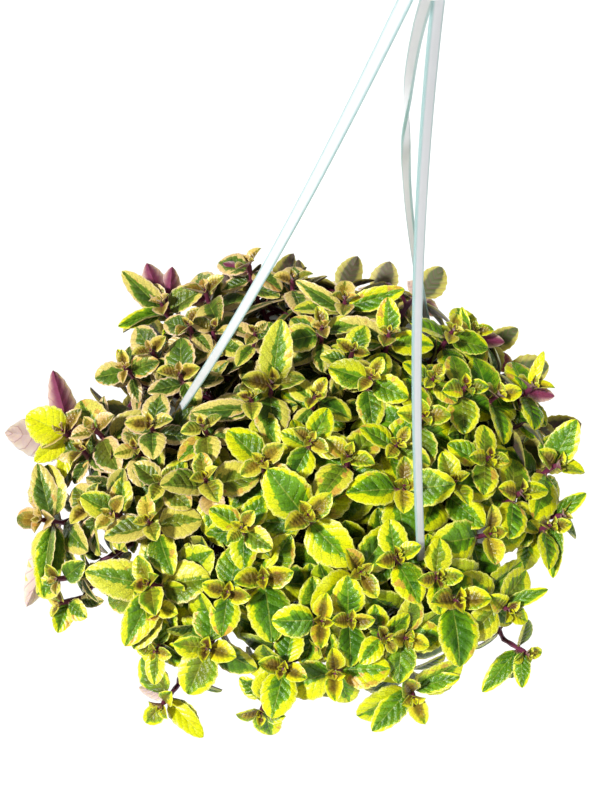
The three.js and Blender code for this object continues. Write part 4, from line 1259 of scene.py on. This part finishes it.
    # The petiole is pinkish
    petiole = add(
        tree, "MapRange",
        {"Value": place["X"], "From Min": 0.13, "From Max": 0.05, "To Max": 0.85}, soft_step,
    )
    base = add(tree, "MixRGB", {"Fac": petiole, "Color1": base, "Color2": "#8e3f5c"})
    mottle = add(
        tree, "MapRange",
        {"Value": speckle, "From Min": 0.3, "From Max": 0.7, "To Min": 0.75, "To Max": 1.12},
    )
    base = add(tree, "MixRGB", {"Fac": 1.0, "Color1": base, "Color2": mottle}, {"blend_type": "MULTIPLY"})

    # Quilting: the blade domes up between its veins, and in cells of 2 mm between the finest of them
    grown = add(
        tree, "MapRange", {"Value": own["Y"], "From Max": 0.5, "To Min": 0.3, "To Max": 1.0}, soft_step
    )
    dome = add(tree, "Math", {0: swing}, {"operation": "SQRT"})
    dome = add(tree, "Math", {0: dome, 1: grown}, multiply)
    cells = add(tree, "TexVoronoi", {"Vector": object_place, "Scale": 460.0})
    sunken = add(tree, "Math", {0: cells, 1: -0.4, 2: dome}, multiply_add)
    height = add(tree, "Math", {0: speckle, 1: 0.3, 2: sunken}, multiply_add)
    relief = add(tree, "MapRange", {"Value": green, "To Min": 0.35, "To Max": 0.85})
    bump = add(tree, "Bump", {"Strength": relief, "Distance": 0.0012, "Height": height})
    return finish_material(
        material, {"Base Color": base, "Roughness": 0.33, "IOR": 1.45, "Sheen Weight": 0.03, "Normal": bump}
    )


def leaf_under():
    """Living leaf blade, underside: matt, with raised veins, and light that comes through it. Young ones are
    purple in a pinkish margin, older ones a dark olive green, partly as painted shade, in a pale margin, with
    a purple flush."""
    material, tree, object_place = new_material("spurflower_leaf_under")
    place, own = leaf_marks(tree)
    cloud = add(tree, "TexNoise", {"Vector": object_place, "Scale": 160.0, "Detail": 3.0})
    wobble = add(tree, "MapRange", {"Value": cloud, "To Min": -0.1, "To Max": 0.1})
    size, _, swing = vein_marks(tree, place, wobble)
    purple = add(tree, "MapRange", {"Value": size, "From Min": 1.05, "From Max": 0.2}, soft_step)
    chance = add(tree, "MapRange", {"Value": own["X"], "To Min": 0.15, "To Max": 1.0})
    purple = add(tree, "Math", {0: purple, 1: chance}, multiply)
    pink = add(tree, "MixRGB", {"Fac": own["Z"], "Color1": "#c79a8e", "Color2": "#ecdcd0"})
    young = add(tree, "MixRGB", {"Fac": purple, "Color1": pink, "Color2": "#7a1f4c"})
    faint = add(tree, "Math", {0: purple, 1: 0.75}, multiply)
    ragged = add(tree, "MapRange", {"Value": cloud, "To Min": -0.3, "To Max": 0.3})
    ragged = add(tree, "Math", {0: size, 1: ragged}, {"operation": "ADD"})
    outer = add(tree, "MapRange", {"Value": ragged, "From Min": 0.45, "From Max": 0.7}, soft_step)
    # Painted shade, in part: the dark olive middle of older undersides stands for far leaves in shade
    plain = add(tree, "MixRGB", {"Fac": outer, "Color1": "#566a2c", "Color2": "#bdb654"})
    old = add(tree, "MixRGB", {"Fac": faint, "Color1": plain, "Color2": "#55263b"})
    aged = add(tree, "MapRange", {"Value": own["Y"], "From Min": 0.2, "From Max": 0.42}, soft_step)
    base = add(tree, "MixRGB", {"Fac": aged, "Color1": young, "Color2": old})
    vein = add(
        tree, "MapRange", {"Value": swing, "From Min": 0.09, "From Max": 0.0, "To Max": 0.5}, soft_step
    )
    base = add(tree, "MixRGB", {"Fac": vein, "Color1": base, "Color2": "#8a3560"})
    bump = add(tree, "Bump", {"Strength": 0.6, "Distance": 0.0008, "Height": swing}, {"invert": True})
    return finish_material(
        material,
        {
            "Base Color": base, "Roughness": 0.6, "IOR": 1.4, "Sheen Weight": 0.1, "Normal": bump,
            "Subsurface Weight": 0.4, "Subsurface Radius": (1.0, 0.9, 0.3), "Subsurface Scale": 0.002,
        },
    )


def stem_material():
    """Living stem skin: smooth and softly glossy, dark maroon when old and pinker where it is young."""
    material, tree, object_place = new_material("spurflower_stem")
    _, own = leaf_marks(tree)
    streak = add(tree, "TexNoise", {"Vector": object_place, "Scale": 220.0, "Detail": 4.0})
    young = add(tree, "MixRGB", {"Fac": streak, "Color1": "#4c1630", "Color2": "#843a58"})
    old = add(tree, "MixRGB", {"Fac": streak, "Color1": "#2c0c1b", "Color2": "#64203c"})
    base = add(tree, "MixRGB", {"Fac": own["Y"], "Color1": young, "Color2": old})
    bump = add(tree, "Bump", {"Strength": 0.3, "Distance": 0.0004, "Height": streak})
    return finish_material(material, {"Base Color": base, "Roughness": 0.42, "IOR": 1.42, "Normal": bump})


def polypropylene(name, tint, shade, roughness):
    """Injection-moulded polypropylene: waxy white with the mould's fine grain and faint flow marks, and it
    lets light in under its surface. A strap's thin edges are painted a darker, cooler grey-cyan as shade, so
    that they read against white."""
    material, tree, object_place = new_material(name)
    flow = add(tree, "TexNoise", {"Vector": object_place, "Scale": 14.0, "Detail": 3.0})
    grain = add(tree, "TexNoise", {"Vector": object_place, "Scale": 1400.0, "Detail": 1.0})
    base = add(tree, "MixRGB", {"Fac": flow, "Color1": colour(tint), "Color2": colour(shade)})
    # Painted shade: the straps' thin edges take a darker cool grey-cyan, as much as the edge mark gives
    edge = add(tree, "Attribute", settings={"attribute_name": "edge"})
    edge_shade = add(tree, "SeparateXYZ", {0: edge.outputs["Vector"]}).outputs["X"]
    base = add(tree, "MixRGB", {"Fac": edge_shade, "Color1": base, "Color2": "#9fc1c0"})
    rough_map = add(
        tree, "MapRange", {"Value": grain, "To Min": roughness - 0.06, "To Max": roughness + 0.08}
    )
    bump = add(tree, "Bump", {"Strength": 0.2, "Distance": 0.0002, "Height": grain})
    return finish_material(
        material,
        {
            "Base Color": base, "Roughness": rough_map, "IOR": 1.49, "Normal": bump,
            "Subsurface Weight": 0.7, "Subsurface Radius": (1.0, 1.0, 1.0), "Subsurface Scale": 0.006,
        },
    )


def peat_material():
    """Damp peat: nearly black brown, matt, broken into fibres and crumbs of 1 to 3 mm."""
    material, tree, object_place = new_material("damp_peat")
    crumbs = add(tree, "TexVoronoi", {"Vector": object_place, "Scale": 420.0})
    fibres = add(tree, "TexNoise", {"Vector": object_place, "Scale": 700.0, "Detail": 5.0})
    base = add(tree, "MixRGB", {"Fac": fibres, "Color1": "#1a120d", "Color2": "#4a3626"})
    height = add(tree, "Math", {0: crumbs, 1: fibres}, {"operation": "ADD"})
    bump = add(tree, "Bump", {"Strength": 0.9, "Distance": 0.0012, "Height": height})
    return finish_material(material, {"Base Color": base, "Roughness": 0.95, "Normal": bump})


def crumb_material():
    """Bark bits and pale perlite in the mix: matt, some brown and some off-white."""
    material, tree, object_place = new_material("bark_and_perlite")
    patch = add(tree, "TexVoronoi", {"Vector": object_place, "Scale": 130.0})
    pick = add(tree, "SeparateXYZ", {0: patch.outputs["Color"]}).outputs["X"]
    pale = add(tree, "Math", {0: pick, 1: 0.72}, {"operation": "GREATER_THAN"})
    base = add(tree, "MixRGB", {"Fac": pale, "Color1": "#4d3625", "Color2": "#cfc8ba"})
    pits = add(tree, "TexNoise", {"Vector": object_place, "Scale": 900.0, "Detail": 3.0})
    bump = add(tree, "Bump", {"Strength": 0.7, "Distance": 0.0006, "Height": pits})
    return finish_material(material, {"Base Color": base, "Roughness": 0.9, "Normal": bump})


def paper_material():
    """Matt white background paper, with the faintest unevenness."""
    material, tree, object_place = new_material("background_paper")
    cloud = add(tree, "TexNoise", {"Vector": object_place, "Scale": 1.5, "Detail": 2.0})
    base = add(tree, "MixRGB", {"Fac": cloud, "Color1": "#fbfbfa", "Color2": "#f6f6f5"})
    return finish_material(material, {"Base Color": base, "Roughness": 0.9})


# The scene

def make_camera():
    data = bpy.data.cameras.new("camera")
    data.sensor_width = 36
    data.lens = data.sensor_width * photo.focal / photo.height
    data.clip_end = 50
    camera = bpy.data.objects.new("camera", data)
    place = (eye - UP * bearing_height) / 1000
    turn = Matrix(np.stack([camera_right, camera_up, -camera_forward], -1).tolist()).to_4x4()
    camera.matrix_world = Matrix.Translation(place) @ turn
    bpy.context.scene.collection.objects.link(camera)
    bpy.context.scene.camera = camera


def make_sun(name, towards, spread_angle, strength):
    """A soft light from one side, as wide in degrees as it looks from the plant."""
    data = bpy.data.lights.new(name, "SUN")
    data.angle = math.radians(spread_angle)
    data.energy = strength
    light = bpy.data.objects.new(name, data)
    back = unit(np.array(towards, float))
    right = unit(np.cross([0.0, 1.0, 0.2], back))
    light.matrix_world = Matrix(np.stack([right, np.cross(back, right), back], -1).tolist()).to_4x4()
    bpy.context.scene.collection.objects.link(light)


def make_stage():
    """A pale floor well below the hanging basket, a key light, a wide weak fill, and an even surround, which
    gives little light and looks pale behind the floor."""
    half, height = studio.floor_half, studio.floor_height
    corners = [(-half, -half, height), (half, -half, height), (half, half, height), (-half, half, height)]
    mesh = bpy.data.meshes.new("floor")
    mesh.from_pydata(corners, [], [(0, 1, 2, 3)])
    mesh.materials.append(paper_material())
    floor = bpy.data.objects.new("floor", mesh)
    bpy.context.scene.collection.objects.link(floor)
    make_sun("key", *studio.key)
    make_sun("fill", *studio.fill)
    world = bpy.data.worlds.new("studio")
    bpy.context.scene.world = world
    world.use_nodes = True
    tree = world.node_tree
    tree.nodes.clear()
    seen = add(tree, "LightPath")
    strength = add(
        tree, "MapRange", {"Value": seen, "To Min": studio.surround_light, "To Max": studio.surround_seen}
    )
    surround = add(tree, "Background", {"Color": (1.0, 1.0, 1.0, 1.0), "Strength": strength})
    add(tree, "OutputWorld", {"Surface": surround})
    bpy.context.scene.view_settings.view_transform = "Standard"


def fitted_limbs(shoots, corners):
    """A stem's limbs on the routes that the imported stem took: the main one, then its side shoots."""
    first, *others = shoots
    main = packed_limb(first, [main_route(first, bend) for bend in stem_bends], corners)
    limbs = [fine_limb(first, main)]
    for shoot in others:
        routes = [side_route(shoot, main.path, start, bend) for start in side_starts for bend in stem_bends]
        limbs.append(fine_limb(shoot, packed_limb(shoot, routes, corners)))
    return limbs


def packed_leaves(limbs, rank, corners):
    """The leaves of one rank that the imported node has."""
    pair = packed_pairs[rank]
    leaves = []
    for limb in limbs:
        for facing in (1, -1):
            place = packed_leaf(limb.shoot, rank, facing, corners)
            if place:
                leaves.append(finish_place(place, limb.shoot, pair.age, pair.knots))
    return leaves


def single_leaves(number, limbs):
    """The leaves of stem number that the photograph shows by themselves."""
    leaves = []
    for i, (stem_number, shoot_number, *tip, look) in enumerate(leaves_in_photo):
        if stem_number == number:
            leaves.append(posed_leaf(limbs[shoot_number - 1], i, *tip, looks[look]))
    return leaves


def plan_stem(number, shoots):
    """A stem with the leaves whose places the solids and the photograph give."""
    node = f"shoot_{number:02d}"
    corners = packed_corners(node)
    limbs = fitted_limbs(shoots, corners)
    small = packed_leaves(limbs, 0, corners)
    big = packed_leaves(limbs, 1, corners) + single_leaves(number, limbs)
    return Sizes(node=node, limbs=limbs, small=small, big=big)


def grow_plant():
    """Every stem as its own piece: its skin, the leaves that have their places, and those that fill up."""
    materials = [leaf_upper(), leaf_under(), stem_material()]
    low = np.array(cad_box[0]) * 1000 + UP * bearing_height - room_margin
    high = np.array(cad_box[1]) * 1000 + UP * bearing_height + room_margin
    crowd = Crowd(low, high)
    plants = [plan_stem(number, shoots) for number, shoots in enumerate(plan_stems(), 1)]
    for plant in plants:
        for leaves in (plant.small, plant.big):
            if leaves:
                crowd.add(blade_points(leaves, room_u, room_v))
    for number, plant in enumerate(plants, 1):
        young = [place for limb in plant.limbs for place in young_leaves(limb)]
        grown = [place for limb in plant.limbs for place in older_leaves(limb, crowd, low, high)]
        skins = [stem_skin(limb) for limb in plant.limbs]
        for leaves, grid in ((young, young_grid), (plant.small, small_grid), (plant.big + grown, big_grid)):
            if leaves:
                skins.append(leaf_skin(leaves, *grid))
        stand_for(make_mesh(f"leafy_stem_{number:02d}", skins, materials), plant.node)


grow_plant()
make_basket(polypropylene("white_polypropylene_basket", "#eceeea", "#e2e5e1", 0.42))
make_mix(peat_material())
make_hanger(polypropylene("white_polypropylene_hanger", "#f6f5fa", "#f2f1f8", 0.36))
make_stage()
make_camera()
